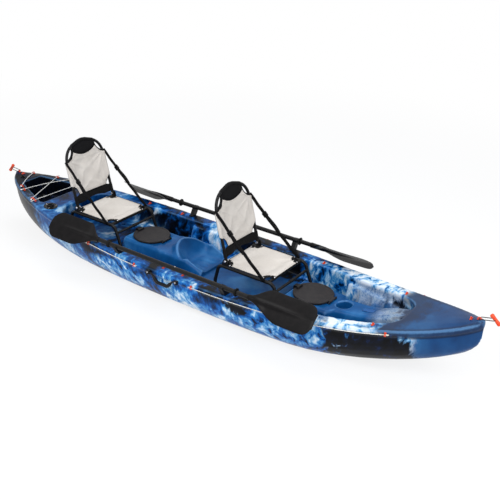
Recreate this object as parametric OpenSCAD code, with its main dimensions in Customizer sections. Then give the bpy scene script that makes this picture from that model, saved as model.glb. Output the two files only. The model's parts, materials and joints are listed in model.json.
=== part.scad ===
// Sit-on-top tandem fishing kayak with two folding frame seats and two stowed paddles.
// Millimetres. +X runs to the bow, +Y to port, +Z up. The origin lies under the middle
// of the hull, on the plane that the bottom rests on.

/* [Hull] */
// Length of the hull from stem to stern
hull_length = 3750; // [3600:10:3900]
// Beam over the gunwale lip
beam = 840; // [800:5:900]
// Height of the gunwale amidships
gunwale_height = 280; // [270:2:296]
// Extra height of the gunwale at the bow
bow_rise = 175; // [140:5:200]
// Extra height of the gunwale at the stern
stern_rise = 92; // [60:2:110]
// Moulded wall thickness
wall = 4.5; // [4:0.25:6]
// Rise of the keel line at the stem
bow_keel_rise = 360; // [300:5:380]
// Rise of the keel line at the stern
stern_keel_rise = 280; // [240:5:300]
// Length over which the keel rises to the stem
bow_run = 1150; // [900:10:1250]
// Length over which the keel rises to the stern
stern_run = 540; // [440:10:640]
// Overhang of the gunwale lip over the side
lip_overhang = 12; // [6:1:16]
// Height of the gunwale lip
lip_height = 34; // [30:1:44]
// Depth of the two channels under the bottom
channel_depth = 14; // [6:1:20]
// Height of the crown on the bow and stern decks
deck_crown = 18; // [8:1:30]

/* [Deck] */
// Width of the side deck beside the cockpit
side_deck = 96; // [86:1:104]
// Where the cockpit ends behind the rear seat
cockpit_aft = -1196; // [-1204:1:-1188]
// Where the cockpit ends in front of the front footwells
cockpit_fore = 1440; // [1400:5:1470]
// Height of the footwell floor
footwell_floor = 105; // [90:1:115]
// Height of the floor under the seats
seat_floor = 165; // [150:1:175]
// Height of the console top that carries the hatches
console_height = 246; // [236:1:256]
// Height of the middle seat's backrest
middle_back_height = 332; // [310:1:345]
// Floor height of the tank well
tank_floor = 205; // [185:1:225]
// Aft end of the tank well
tank_aft = -1700; // [-1710:1:-1690]
// Forward end of the tank well
tank_fore = -1345; // [-1355:1:-1335]
// Margin between the tank well and the gunwale
tank_margin = 62; // [52:1:72]
// Pitch of the foot brace steps
step_pitch = 96; // [84:1:104]
// Depth of a foot brace step
step_depth = 36; // [24:1:44]
// Bore of a scupper
scupper_d = 30; // [22:1:36]
// Bore of the cup holder
cup_d = 100; // [84:1:104]
// Depth of the cup holder
cup_depth = 62; // [50:1:80]

/* [Hatches] */
// Place of the front hatch along the hull
front_hatch_x = 821; // [817:1:825]
// Place of the rear hatch along the hull
rear_hatch_x = -488; // [-490:1:-484]
// Clear opening of a hatch
hatch_opening_d = 200; // [190:1:204]
// Outer diameter of a hatch lid
lid_d = 256; // [250:1:260]
// Diameter of a hinge pin
hinge_pin_d = 5; // [4:0.5:6]
// Screws in a hatch ring
ring_screws = 8; // [6:1:10]

/* [Seats] */
// Front cross tube of the front seat along the hull
front_seat_x = 606; // [600:1:612]
// Distance between the two seats
seat_spacing = 1302; // [1300:1:1306]
// Room between the rear seat's feet and the cockpit wall
foot_room = 5.4; // [4:0.1:9]
// Height of the side rails
rail_height = 335; // [325:1:350]
// Diameter of the seat tubes
seat_tube_d = 22; // [18:1:24]
// Diameter of the backrest tube
back_tube_d = 20; // [16:1:22]
// Height of the backrest pivot over the rails
pivot_rise = 37; // [34:1:44]
// Height of the backrest over its pivot
back_height = 440; // [410:5:480]
// Lean of the backrest at rest
back_lean = 15; // [10:1:20]
// Diameter of the pivot bolt
pivot_d = 8; // [6:1:10]
// Depth of the hollow in the seat sling
sling_sag = 16; // [8:1:20]
// Radius of the cut corners of the sling
corner_cut = 58; // [48:1:64]
// Width of the backrest straps
strap_width = 25; // [20:1:30]

/* [Paddles] */
// Length of a paddle
paddle_length = 2100; // [2000:10:2200]
// Diameter of the paddle shaft
shaft_d = 29; // [26:1:32]
// Wall of the paddle shaft
shaft_wall = 2; // [1.5:0.5:3]
// Length of a blade
blade_length = 450; // [420:5:480]
// Width of a blade
blade_width = 186; // [160:2:200]
// Slope of the stowed blades
blade_slope = 45; // [40:1:50]
// Height of the stowed shafts
paddle_height = 342; // [340:1:350]
// Gap between a paddle rest and the drip ring beyond it
rest_gap = 6; // [4:1:40]
// Aft shift of the port paddle against the starboard one
port_shift = 70; // [0:5:90]

/* [Fittings] */
// Bore of a rod holder
rod_bore_d = 42; // [38:1:44]
// Depth of a rod holder along its axis
rod_depth = 180; // [150:5:190]
// Aft tilt of the rod holders
rod_tilt = 15; // [10:1:18]
// Place of the rod holders along the hull
rod_x = -1262; // [-1266:1:-1258]
// Distance of the rod holders from the centreline
rod_y = 214; // [210:1:218]
// Diameter of the cords
cord_d = 5; // [4:0.5:6]
// Spacing of the side handle brackets
handle_span = 227; // [200:1:240]
// Place of the side handles along the hull
handle_x = -24; // [-40:1:0]
// Drop of the side handle's grip below its pivots
handle_drop = 50; // [46:1:56]
// Length of a toggle grip
toggle_length = 74; // [60:1:86]
// Diameter of a toggle grip
toggle_d = 24; // [20:1:26]
// Diameter of the drain plug's thread
drain_d = 22; // [18:1:26]

/* [Clearances] */
// Gap between pieces that seat on each other
seat_gap = 0.3; // [0.2:0.05:0.4]
// Radial running clearance of a pin in its hole
run_gap = 0.05; // [0.03:0.01:0.08]

/* [Hidden] */
$fn = 48;
sides = [-1, 1];
half_length = hull_length / 2;
rear_seat_x = front_seat_x - seat_spacing;
paddle_y = beam / 2 - 8;
pivot_x = -325;
pivot_z = rail_height + pivot_rise;
sling_z = rail_height + seat_tube_d / 2 + seat_gap;

// Lines of the hull: fullness of the plan, sweep of the sheer, and the run of the keel
plan_power = 2.4;
plan_fill = 0.67;
bow_sweep = 3.4;
stern_sweep = 1.8;
function station(x) = min(1, abs(x) / half_length);
function half_beam(x) = max(14, beam / 2 * pow(1 - pow(station(x), plan_power), plan_fill));
function sheer(x) =
  gunwale_height
  + (x > 0 ? bow_rise * pow(station(x), bow_sweep) : stern_rise * pow(station(x), stern_sweep));
function sheer_slope(x) = (sheer(x + 5) - sheer(x - 5)) / 10;
function side_angle(x) = atan((half_beam(x + 5) - half_beam(x - 5)) / 10);
function crown(x) = deck_crown * pow(max(0, (station(x) - 0.78) / 0.22), 1.5);
function run_share(x) =
  x > 0 ? max(0, (x - half_length + bow_run) / bow_run)
        : max(0, (-x - half_length + stern_run) / stern_run);
function keel(x) =
  (x > 0 ? bow_keel_rise : stern_keel_rise) * (1 - sqrt(max(0, 1 - pow(run_share(x), 2))));
function ease(a, b, x) = let (s = min(1, max(0, (x - a) / (b - a)))) s * s * (3 - 2 * s);

// One half of a hull section, from the keel up over the bilge and lip to the deck's middle
keel_share = 0.1;
channel_share = 0.4;
bilge_share = 0.5;
bottom_shares = [0, keel_share, 0.17, 0.25, 0.33, channel_share, bilge_share,
                 0.62, 0.73, 0.83, 0.91, 0.96, 0.99, 1];
inside_shares = [0, keel_share, 0.25, channel_share, bilge_share, 0.73, 0.91, 1];
function channel(s) =
  s > keel_share && s < channel_share
    ? pow(sin(180 * (s - keel_share) / (channel_share - keel_share)), 2) : 0;
function bilge(s) =
  s < bilge_share ? 0 : 1 - pow(1 - pow((s - bilge_share) / (1 - bilge_share), 2.2), 1 / 1.8);
function half_section(x, t) =
  let (w = max(4, half_beam(x) - t),
       low = keel(x) + t,
       shares = t > 0 ? inside_shares : bottom_shares,
       top = sheer(x) - t,
       inner = max(2, w - lip_overhang),
       rise = max(4, top - lip_height - 8 - low),
       flat = 1 - ease(0.45, 0.95, station(x)),
       vee = 0.3 * rise * (1 - flat))
  concat(
    [for (s = shares)
      [inner * s, low + rise * bilge(s) + channel_depth * flat * channel(s) + vee * s * (1 - bilge(s))]],
    [[w, top - lip_height]],
    t > 0 ? [[w, top - 4]] : [[w, top - 9], [w - 3, top - 2], [max(1, w - 9), top]],
    [[w * 0.45, top + crown(x) * 0.8], [0, top + crown(x)]]);
function ring(x, t) =
  let (h = half_section(x, t), n = len(h))
  concat([for (p = h) [x, p[0], p[1]]], [for (i = [n - 2 : -1 : 1]) [x, -h[i][0], h[i][1]]]);

// Skin over a list of rings that all hold the same number of points
module skin(rings) {
  m = len(rings[0]);
  n = len(rings);
  points = [for (r = rings) for (p = r) p];
  sides_of_skin = [for (i = [0 : n - 2]) for (j = [0 : m - 1])
    let (k = (j + 1) % m)
    each [[i * m + j, (i + 1) * m + k, i * m + k], [i * m + j, (i + 1) * m + j, (i + 1) * m + k]]];
  caps = [for (j = [0 : m / 2 - 2]) [j, j + 1, m - 2 - j, m - 1 - j]];
  last_caps = [for (c = caps) [for (k = [3 : -1 : 0]) (n - 1) * m + c[k]]];
  polyhedron(points, concat(sides_of_skin, caps, last_caps), convexity = 12);
}

// Height of the deck between two neighbouring stations of the outer skin
hull_steps = 42;
function hull_place(i) = -half_length * cos(180 * i / hull_steps);
function deck_line(x, y) =
  let (edge = max(1, half_beam(x) - 9), knee = 0.45 * half_beam(x), v = abs(y))
  sheer(x) + crown(x) * (v < knee ? 1 - 0.2 * v / knee : 0.8 * max(0, (edge - v) / (edge - knee)));
function deck_at(x, y) =
  let (i = min(hull_steps - 1, floor(hull_steps * acos(-x / half_length) / 180)),
       a = hull_place(i),
       b = hull_place(i + 1),
       f = (x - a) / (b - a))
  (1 - f) * deck_line(a, y) + f * deck_line(b, y);
module hull_form(t, steps) {
  reach = half_length - (t > 0 ? 40 : 0);
  skin([for (i = [0 : steps]) ring(-reach * cos(180 * i / steps), t)]);
}

// Cockpit opening: half width at the deck and floor height along the hull
function cockpit_half(x) =
  let (middle = (cockpit_fore + cockpit_aft) / 2,
       share = abs(x - middle) / ((cockpit_fore - cockpit_aft) / 2))
  (half_beam(x) - side_deck) * (1 - end_taper * pow(min(1, share), end_power));
end_taper = 0.45;
end_power = 40;
// The floor steps down in front of each seat and up again behind the front one
rear_drop = [rear_seat_x - 12, rear_seat_x + 48];
middle_rise = [-30, 50];
front_drop = [front_seat_x - 10, front_seat_x + 50];
toe_rise = [cockpit_fore - 190, cockpit_fore];
toe_height = 40;
function ease_over(span, x) = ease(span[0], span[1], x);
function floor_height(x) =
  footwell_floor
  + (seat_floor - footwell_floor)
    * (1 - ease_over(rear_drop, x) + ease_over(middle_rise, x) * (1 - ease_over(front_drop, x)))
  + toe_height * ease_over(toe_rise, x);
cockpit_draft = 18;
cockpit_fillet = 14;
sky = 700;
function cockpit_ring(x, g) =
  let (c = cockpit_half(x) + g,
       b = c - cockpit_draft,
       f = floor_height(x) - g,
       r = cockpit_fillet)
  [[x, c + 4, sky], [x, c + 4, sheer(x) - g], [x, c, sheer(x) - 10 - g], [x, b, f + r],
   [x, b - 0.3 * r, f + 0.3 * r], [x, b - r, f],
   [x, r - b, f], [x, 0.3 * r - b, f + 0.3 * r], [x, -b, f + r],
   [x, -c, sheer(x) - 10 - g], [x, -c - 4, sheer(x) - g], [x, -c - 4, sky]];
// Stations close together at the ends and over the steps, and at most a bay apart elsewhere
bay = 120;
end_marks = [0, 10, 30, 60, 100];
function over(span) = [for (f = [0, 0.25, 0.5, 0.75, 1]) span[0] + (span[1] - span[0]) * f];
cockpit_marks = concat(
  [for (m = end_marks) cockpit_aft + m], over(rear_drop), over(middle_rise), over(front_drop),
  [toe_rise[0]], [for (i = [len(end_marks) - 1 : -1 : 0]) cockpit_fore - end_marks[i]]);
cockpit_places = concat(
  [for (i = [0 : len(cockpit_marks) - 2])
    let (a = cockpit_marks[i], b = cockpit_marks[i + 1], n = ceil((b - a) / bay))
    each [for (k = [0 : n - 1]) a + (b - a) * k / n]],
  [cockpit_fore]);
module cockpit(g) {
  last = len(cockpit_places) - 1;
  skin([for (i = [last : -1 : 0])
    let (e = i == 0 ? -g : (i == last ? g : 0))
    cockpit_ring(cockpit_places[i] + e, g)]);
}

// A raised console is drawn over ribs: place, top height, half width at top and at foot
module rib(r, g) {
  chamfer = 16;
  translate([r[0], 0, 0])
    rotate([90, 0, 90])
      linear_extrude(0.5)
        polygon([[g - r[3], 40], [r[3] - g, 40], [r[2] - g, r[1] - g - chamfer],
                 [r[2] - g - chamfer, r[1] - g], [chamfer + g - r[2], r[1] - g],
                 [g - r[2], r[1] - g - chamfer]]);
}
module console(ribs, g) {
  last = len(ribs) - 1;
  for (i = [0 : last - 1])
    hull() {
      translate([i == 0 ? g : 0, 0, 0]) rib(ribs[i], g);
      translate([i == last - 1 ? -g : 0, 0, 0]) rib(ribs[i + 1], g);
    }
}
hatch_half = lid_d / 2 + 12;
front_ribs = [
  [front_hatch_x - hatch_half - 10, console_height - 40, hatch_half - 8, hatch_half + 20],
  [front_hatch_x - hatch_half + 2, console_height, hatch_half, hatch_half + 22],
  [front_hatch_x + hatch_half + 18, console_height, hatch_half - 6, hatch_half + 14],
  [front_hatch_x + hatch_half + 60, console_height + 8, cup_d / 2 + 40, cup_d / 2 + 64],
  [1150, console_height + 20, 78, 104],
  [1250, console_height + 38, 74, 100],
  [1350, console_height + 76, 72, 98],
  [1440, sheer(1440) - 12, 84, 112],
  [1500, sheer(1500) - 8, 90, 118]
];
rear_ribs = [
  [rear_hatch_x - hatch_half - 10, console_height - 40, hatch_half - 8, hatch_half + 20],
  [rear_hatch_x - hatch_half + 2, console_height, hatch_half, hatch_half + 22],
  [rear_hatch_x + hatch_half + 18, console_height, hatch_half, hatch_half + 22],
  [-290, console_height + 6, 150, 172],
  [-60, console_height + 12, 158, 176],
  [62, seat_floor + 40, 150, 176]
];

// The middle seat: a curved backrest with a hollow in front of it
middle_back_r = 38;
module middle_backrest(g) {
  hull() {
    for (s = sides)
      translate([-212, s * 112, middle_back_height - middle_back_r - 34])
        sphere(middle_back_r - g, $fn = 14);
    for (s = sides)
      translate([-238, s * 50, middle_back_height - middle_back_r])
        sphere(middle_back_r - g, $fn = 14);
    translate([-300 + g, g - 140, console_height - 60]) cube([120 - 2 * g, 280 - 2 * g, 10]);
  }
}
module middle_hollow(g) {
  r = 74 + g;
  hull()
    for (x = [-104, 70], s = sides, lift = [0, 200])
      translate([x, s * (x < 0 ? 52 : 74), 262 + lift])
        sphere(r, $fn = 16);
  for (s = sides)
    hull()
      for (x = [-120, 20])
        translate([x, s * 36, 196])
          sphere(14 + g, $fn = 8);
}

// Steps moulded into the cockpit walls for the feet
front_steps_x = front_hatch_x + 109;
rear_steps_x = rear_hatch_x + 128;
module foot_steps(first, count) {
  for (i = [0 : count - 1], s = sides) {
    x = first + i * step_pitch;
    base = floor_height(x) - wall / 2;
    wall_y = cockpit_half(x + step_pitch) - cockpit_draft;
    wall_aft = cockpit_half(x) - cockpit_draft;
    hull() {
      translate([x, s * (wall_aft - step_depth / 2 + 14), base])
        linear_extrude(60)
          square([4, step_depth + 28], center = true);
      translate([x + step_pitch - 8, s * (wall_y + 10), base])
        linear_extrude(150)
          square([4, 26], center = true);
      translate([x, s * (wall_aft + 10), base])
        linear_extrude(150)
          square([4, 26], center = true);
    }
  }
}

scuppers = [[1180, 176], [760, 214], [420, 150], [-160, 226], [-560, 214], [-900, 150]];
module scupper_posts(g) {
  for (p = scuppers, s = sides)
    translate([p[0], s * p[1], -20])
      cylinder(d = scupper_d + 2 * g, h = 240, $fn = 10);
}
tank_corner_r = 30;
tank_draft = 14;
tank_headroom = 95;
module tank_well(g) {
  r = tank_corner_r;
  hull()
    for (x = [tank_aft + r, tank_fore - r], s = sides)
      translate([x, s * (half_beam(x) - tank_margin - r), tank_floor - g])
        cylinder(r1 = r - tank_draft + g, r2 = r + tank_draft + g,
                 h = sky - tank_floor - tank_headroom, $fn = 16);
}
cup_x = 1036;
module cup_holder(g) {
  translate([cup_x, 0, console_height + 10 - cup_depth - g])
    cylinder(d1 = cup_d - 8 + 2 * g, d2 = cup_d + 2 * g, h = cup_depth + 20, $fn = 24);
}
module deck_cut(g) {
  difference() {
    cockpit(g);
    difference() {
      union() {
        console(front_ribs, g);
        console(rear_ribs, g);
        middle_backrest(g);
      }
      middle_hollow(g);
    }
  }
  tank_well(g);
  cup_holder(g);
}

function deck_pitch(x, y) = atan((deck_at(x + 5, y) - deck_at(x - 5, y)) / 10);
module on_deck(x, y) {
  roll = atan((deck_at(x, y + 5) - deck_at(x, y - 5)) / 10);
  translate([x, y, deck_at(x, y)])
    rotate([roll, -deck_pitch(x, y), 0])
      children();
}
module on_side(x, s) {
  translate([x, s * half_beam(x), sheer(x) - lip_height / 2 - 3])
    rotate([0, 0, s * side_angle(x)])
      rotate([-s * 90, 0, 0])
        children();
}

rod_tube_d = rod_bore_d + 8;
module at_rod(s) {
  on_deck(rod_x, s * rod_y)
    rotate([0, -rod_tilt, 0])
      children();
}
label_size = [84, 50, 3];
label_x = 1200;
label_rise = 28;
label_slope = 10;
hatch_ring_d = hatch_opening_d + 7;
drain_x = -1765;
drain_y = -34;
drain_seat = 1;
drain_flange_d = drain_d + 14;
module hull_shell() {
  color("royalblue")
    difference() {
      hull_form(0, hull_steps);
      difference() {
        deck_cut(0);
        foot_steps(front_steps_x, 4);
        foot_steps(rear_steps_x, 3);
      }
      difference() {
        hull_form(wall, 28);
        deck_cut(wall);
        scupper_posts(wall);
      }
      scupper_posts(0);
      for (x = [front_hatch_x, rear_hatch_x])
        translate([x, 0, console_height - 30])
          cylinder(d = hatch_ring_d + 1.6, h = 60, $fn = 32);
      for (s = sides)
        at_rod(s)
          translate([0, 0, -40])
            cylinder(d = rod_tube_d + 2.4, h = 80, $fn = 24);
      translate([label_x, 0, console_height + label_rise])
        rotate([0, -label_slope, 0])
          cube([label_size[0], label_size[1], 2 * label_size[2]], center = true);
      on_deck(drain_x, drain_y) {
        translate([0, 0, -30]) cylinder(d = drain_d + 1, h = 60, $fn = 24);
        translate([0, 0, -drain_seat]) cylinder(d = drain_flange_d + 4, h = 30, $fn = 24);
      }
      on_tank_eyes() cylinder(d = eye_plate[1] + 4, h = 30, $fn = 16);
    }
}

// Hatch ring screwed to the console, with the lugs of the lid's hinge
hinge_reach = lid_d / 2 + 6;
hinge_z = console_height + 10;
knuckle_d = hinge_pin_d + 6;
knuckle_half = 30;
lug_length = 14;
ring_lip_d = hatch_opening_d + 9;
flange_d = lid_d - 4;
module pin_along_y(d, length) {
  rotate([90, 0, 0])
    cylinder(d = d, h = length, center = true);
}
module hatch_frame(x) {
  base = console_height + seat_gap;
  color("dimgray")
    translate([x, 0, 0])
      difference() {
        union() {
          rotate_extrude()
            polygon([[hatch_opening_d / 2, base - 12], [hatch_ring_d / 2, base - 12],
                     [hatch_ring_d / 2, base], [flange_d / 2, base], [flange_d / 2, base + 3.6],
                     [ring_lip_d / 2, base + 3.6], [ring_lip_d / 2, base + 10.6],
                     [hatch_opening_d / 2, base + 10.6]]);
          for (s = sides)
            translate([0, s * (knuckle_half + 1 + lug_length / 2), 0]) {
              translate([hinge_reach, 0, hinge_z]) pin_along_y(knuckle_d, lug_length);
              translate([lid_d / 2 - 20, -lug_length / 2, base])
                cube([26 + knuckle_d / 2, lug_length, 3.6]);
              translate([hinge_reach - knuckle_d / 2 + 1, -lug_length / 2, base])
                cube([knuckle_d - 1, lug_length, hinge_z - base]);
            }
        }
        translate([hinge_reach, 0, hinge_z])
          pin_along_y(hinge_pin_d + 2 * run_gap, 4 * knuckle_half);
        for (i = [0 : ring_screws - 1])
          rotate([0, 0, 360 * (i + 0.5) / ring_screws])
            translate([flange_d / 2 - 6, 0, base - 1])
              cylinder(d = screw_d + 0.4, h = 20);
      }
}
screw_d = 4;
screw_head_d = 6.4;
gasket_half = [hatch_opening_d / 2 + 6.5, hatch_opening_d / 2 + 11];
gasket_z = console_height + 2 * seat_gap + 3.6;
gasket_height = 5;
module hatch_gaskets() {
  color("black")
    for (x = [front_hatch_x, rear_hatch_x])
      translate([x, 0, gasket_z])
        rotate_extrude()
          translate([gasket_half[0], 0])
            square([gasket_half[1] - gasket_half[0], gasket_height]);
}
module hatch_hinge_pins() {
  color("silver")
    for (x = [front_hatch_x, rear_hatch_x])
      translate([x + hinge_reach, 0, hinge_z])
        pin_along_y(hinge_pin_d, 2 * (knuckle_half + lug_length + 2));
}
lid_top = gasket_z + gasket_height + seat_gap;
latch_pivot_x = 28 - lid_d / 2;
latch_pivot_z = lid_top + 13;
latch_pin_d = 6;
latch_half = 20;
module hatch_lid(x) {
  skirt = lid_d / 2;
  color([0.2, 0.19, 0.18])
    translate([x, 0, 0])
      difference() {
        union() {
          rotate_extrude()
            polygon([[0, lid_top + 2], [gasket_half[0] - 0.5, lid_top + 2],
                     [gasket_half[0] - 0.5, lid_top], [gasket_half[1] + 0.5, lid_top],
                     [gasket_half[1] + 0.5, lid_top + 2], [skirt - 5, lid_top + 2],
                     [skirt - 5, console_height + 5.5], [skirt, console_height + 5.5],
                     [skirt, lid_top + 2], [skirt - 3, lid_top + 6], [skirt - 12, lid_top + 7],
                     [skirt - 17, lid_top + 5], [0, lid_top + 5]]);
          translate([hinge_reach, 0, hinge_z]) pin_along_y(knuckle_d, 2 * knuckle_half);
          translate([skirt - 10, -knuckle_half, hinge_z + 1])
            cube([hinge_reach - skirt + 10, 2 * knuckle_half, knuckle_d / 2 - 1]);
          for (s = sides)
            translate([latch_pivot_x, s * (latch_half + 4), lid_top + 4]) {
              translate([-6, -3, 0]) cube([12, 6, latch_pivot_z - lid_top - 4]);
              translate([0, 0, latch_pivot_z - lid_top - 4]) pin_along_y(12, 6);
            }
        }
        translate([hinge_reach, 0, hinge_z])
          pin_along_y(hinge_pin_d + 2 * run_gap, 4 * knuckle_half);
        translate([latch_pivot_x, 0, latch_pivot_z])
          pin_along_y(latch_pin_d + 2 * run_gap, 4 * latch_half);
      }
}
// Latch: a curved lever on the lid whose nose reaches down over the ring's rim
module hatch_latch(x) {
  nose = lid_d / 2 + 3;
  color("black")
    translate([x + latch_pivot_x, 0, latch_pivot_z])
      union() {
        pin_along_y(latch_pin_d, 2 * latch_half + 14);
        pin_along_y(10, 2 * latch_half - 2);
        rotate([90, 0, 0])
          linear_extrude(2 * latch_half - 2, center = true)
            polygon([[0, -4], [0, 5], [-14, 6], [-latch_pivot_x - nose - 4, 2],
                     [-latch_pivot_x - nose - 5, console_height + 4 - latch_pivot_z],
                     [-latch_pivot_x - nose, console_height + 4 - latch_pivot_z],
                     [-latch_pivot_x - nose, -2], [-14, -1]]);
      }
}

rod_flange_d = 98;
rod_flange_t = 5;
rod_screws = 3;
rod_screw_r = rod_flange_d / 2 - 8;
module deck_screws() {
  color("silver") {
    for (x = [front_hatch_x, rear_hatch_x], i = [0 : ring_screws - 1])
      translate([x, 0, console_height + 3.6 + 1.2 * seat_gap - 3.4])
        rotate([0, 0, 360 * (i + 0.5) / ring_screws])
          translate([flange_d / 2 - 6, 0, 0])
            cap_screw(3.4);
    for (s = sides, i = [0 : rod_screws - 1])
      on_deck(rod_x, s * rod_y)
        rotate([0, 0, 120 * i + 60])
          translate([rod_screw_r, 0, seat_gap + 0.5])
            cap_screw(rod_flange_t);
  }
}
module cap_screw(grip) {
  cylinder(d = screw_d, h = grip);
  translate([0, 0, grip]) cylinder(d1 = screw_head_d, d2 = screw_head_d - 2, h = 1.2);
}

module rod_holder(s) {
  color("black")
    difference() {
      union() {
        on_deck(rod_x, s * rod_y)
          translate([0, 0, seat_gap]) cylinder(d = rod_flange_d, h = rod_flange_t);
        at_rod(s) translate([0, 0, 16 - rod_depth - 5]) cylinder(d = rod_tube_d, h = rod_depth + 5);
      }
      at_rod(s) translate([0, 0, 16 - rod_depth]) cylinder(d = rod_bore_d, h = rod_depth + 1);
      on_deck(rod_x, s * rod_y)
        for (i = [0 : rod_screws - 1])
          rotate([0, 0, 120 * i + 60])
            translate([rod_screw_r, 0, -1]) cylinder(d = screw_d + 0.4, h = 20);
    }
}

// Pad eye: a small plate with a half ring; the ring stands across local X
eye_plate = [13, 28, 3];
eye_bar_d = 5;
eye_ring_r = eye_bar_d / 2 + cord_d + 1.2;
eye_gap = 0.7;
cord_lift = eye_gap + eye_plate[2] + cord_d / 2 + 2 * seat_gap;
module pad_eye() {
  translate([0, 0, eye_gap]) {
    intersection() {
      translate([0, 0, eye_plate[2] / 2]) cube(eye_plate, center = true);
      cylinder(d = eye_plate[1], h = eye_plate[2]);
    }
    translate([0, 0, eye_plate[2]])
      rotate([90, 0, 90])
        rotate_extrude(angle = 180)
          translate([eye_ring_r, 0]) circle(d = eye_bar_d);
  }
}
deck_eyes = [-790, -500, -72, 85, 700, 1330];
side_eyes = [-700, -269, 199, 1425];
// Tank well cords: starboard end and port end along the hull, and lift at the crossing
tank_cords = [[-1656, -1770, 10], [-1600, -1495, 8], [-1445, -1600, 0], [-1410, -1390, 0]];
function tank_eye_y(x) = half_beam(x) - tank_margin / 2;
function tank_end(x, s) = [x, s * tank_eye_y(x)];
function cord_heading(c) =
  let (d = tank_end(c[1], 1) - tank_end(c[0], -1)) atan2(d[1], d[0]);
// The tank well's eyes stand on flats that are sunk a little into the crowned deck
eye_seat = 1;
tank_eyes = [for (c = tank_cords)
  each [concat(tank_end(c[0], -1), cord_heading(c)), concat(tank_end(c[1], 1), cord_heading(c))]];
module on_tank_eyes() {
  for (e = tank_eyes)
    on_deck(e[0], e[1])
      rotate([0, 0, e[2]])
        translate([0, 0, -eye_seat])
          children();
}
toggle_eye_x = half_length - 34;
end_eye_x = toggle_eye_x - 44;
module pad_eyes() {
  color("orangered") {
    for (x = deck_eyes, s = sides)
      on_deck(x, s * (cockpit_half(x) + 34)) pad_eye();
    for (x = side_eyes, s = sides)
      on_side(x, s) pad_eye();
    on_tank_eyes() pad_eye();
    for (s = sides) {
      on_deck(s * toggle_eye_x, 0) rotate([0, 0, 90]) pad_eye();
      on_deck(s * end_eye_x, 0) pad_eye();
    }
  }
}

// Tube swept along a list of points, held square to the list's general heading
function unit(v) = v / norm(v);
function tangent(p, i) = unit(p[min(len(p) - 1, i + 1)] - p[max(0, i - 1)]);
module swept_cord(p, d) {
  facets = 8;
  skin([for (i = [len(p) - 1 : -1 : 0])
    let (t = tangent(p, i),
         a = unit(cross(t, [0, 0, 1])),
         b = cross(a, t))
    [for (k = [0 : facets - 1])
      p[i] + d / 2 * (cos(360 * k / facets) * a + sin(360 * k / facets) * b)]]);
}
module tank_well_bungee() {
  color("white")
    for (c = tank_cords) {
      lift = cord_lift - eye_seat;
      a = concat(tank_end(c[0], -1), deck_at(c[0], tank_eye_y(c[0])) + lift);
      b = concat(tank_end(c[1], 1), deck_at(c[1], tank_eye_y(c[1])) + lift);
      swept_cord([for (i = [-1 : 7])
        let (f = i < 0 ? -0.06 : (i > 6 ? 1.06 : i / 6))
        a + (b - a) * f + [0, 0, c[2] * max(0, sin(180 * f))]], cord_d);
    }
}
// The line runs in chords, so it stands off a little further than a straight cord
chord_room = 0.4;
function line_point(x, s) =
  [x, s * (half_beam(x) + (cord_lift + chord_room) / cos(side_angle(x))), sheer(x) - lip_height / 2 - 3];
module deck_lines() {
  color("whitesmoke")
    for (s = sides, run = [[0, 1, 6], [2, 3, 16]])
      swept_cord([for (i = [0 : run[2]])
        line_point(side_eyes[run[0]] - 14
          + (side_eyes[run[1]] - side_eyes[run[0]] + 28) * i / run[2], s)], cord_d);
}

// Open cradle under a paddle shaft, bolted to the gunwale
cradle_wall = 6;
rest_width = 30;
module paddle_rests() {
  cradle_r = shaft_d / 2 + 0.5;
  foot = 46;
  color("black")
    for (x = [-rest_x, rest_x], s = sides) {
      edge = half_beam(x) - 10;
      base = sheer(x) + 2 * seat_gap;
      translate([x, 0, 0])
        mirror([0, s < 0 ? 1 : 0, 0])
          rotate([90, 0, 90])
            linear_extrude(rest_width, center = true)
              difference() {
                union() {
                  translate([paddle_y, paddle_height]) circle(cradle_r + cradle_wall);
                  translate([edge - foot, base]) square([foot, 6]);
                  polygon([[edge - foot + 8, base], [edge, base],
                           [paddle_y + cradle_r, paddle_height - cradle_r],
                           [paddle_y - cradle_r - 3, paddle_height - 4]]);
                }
                translate([paddle_y, paddle_height]) circle(cradle_r);
                translate([paddle_y - cradle_r, paddle_height]) square([2 * cradle_r, 60]);
                translate([paddle_y - 60, paddle_height + 8]) square([120, 60]);
              }
    }
}

// Side carry handle: a bail with a grip, turning in two brackets on the gunwale lip
bail_d = 12;
handle_y = half_beam(handle_x) + 12;
handle_z = sheer(handle_x) - lip_height / 2 - 3;
bracket = [22, 21, 26];
module handle_brackets() {
  color("black")
    for (s = sides, e = sides) {
      x = handle_x + e * handle_span / 2;
      face = half_beam(x) + seat_gap;
      translate([x, 0, handle_z])
        difference() {
          translate([-bracket[0] / 2, s > 0 ? face : -face - bracket[1], -bracket[2] / 2])
            cube(bracket);
          translate([-e * 8, s * handle_y, 0])
            rotate([0, 90, 0])
              cylinder(d = bail_d + 2 * run_gap, h = bracket[0], center = true);
        }
    }
}
module handle(s) {
  half = handle_span / 2 - 1;
  inset = 24;
  color("black")
    translate([handle_x, s * handle_y, handle_z]) {
      bent_tube([[-half, 0, 0], [-half + inset, 0, 0], [-half + inset + 10, 0, -handle_drop],
                 [half - inset - 10, 0, -handle_drop], [half - inset, 0, 0], [half, 0, 0]],
                bail_d, 11);
      translate([0, 0, -handle_drop])
        rotate([0, 90, 0])
          cylinder(d = bail_d + 8, h = 2 * half - 2 * inset - 60, center = true);
    }
}

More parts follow.
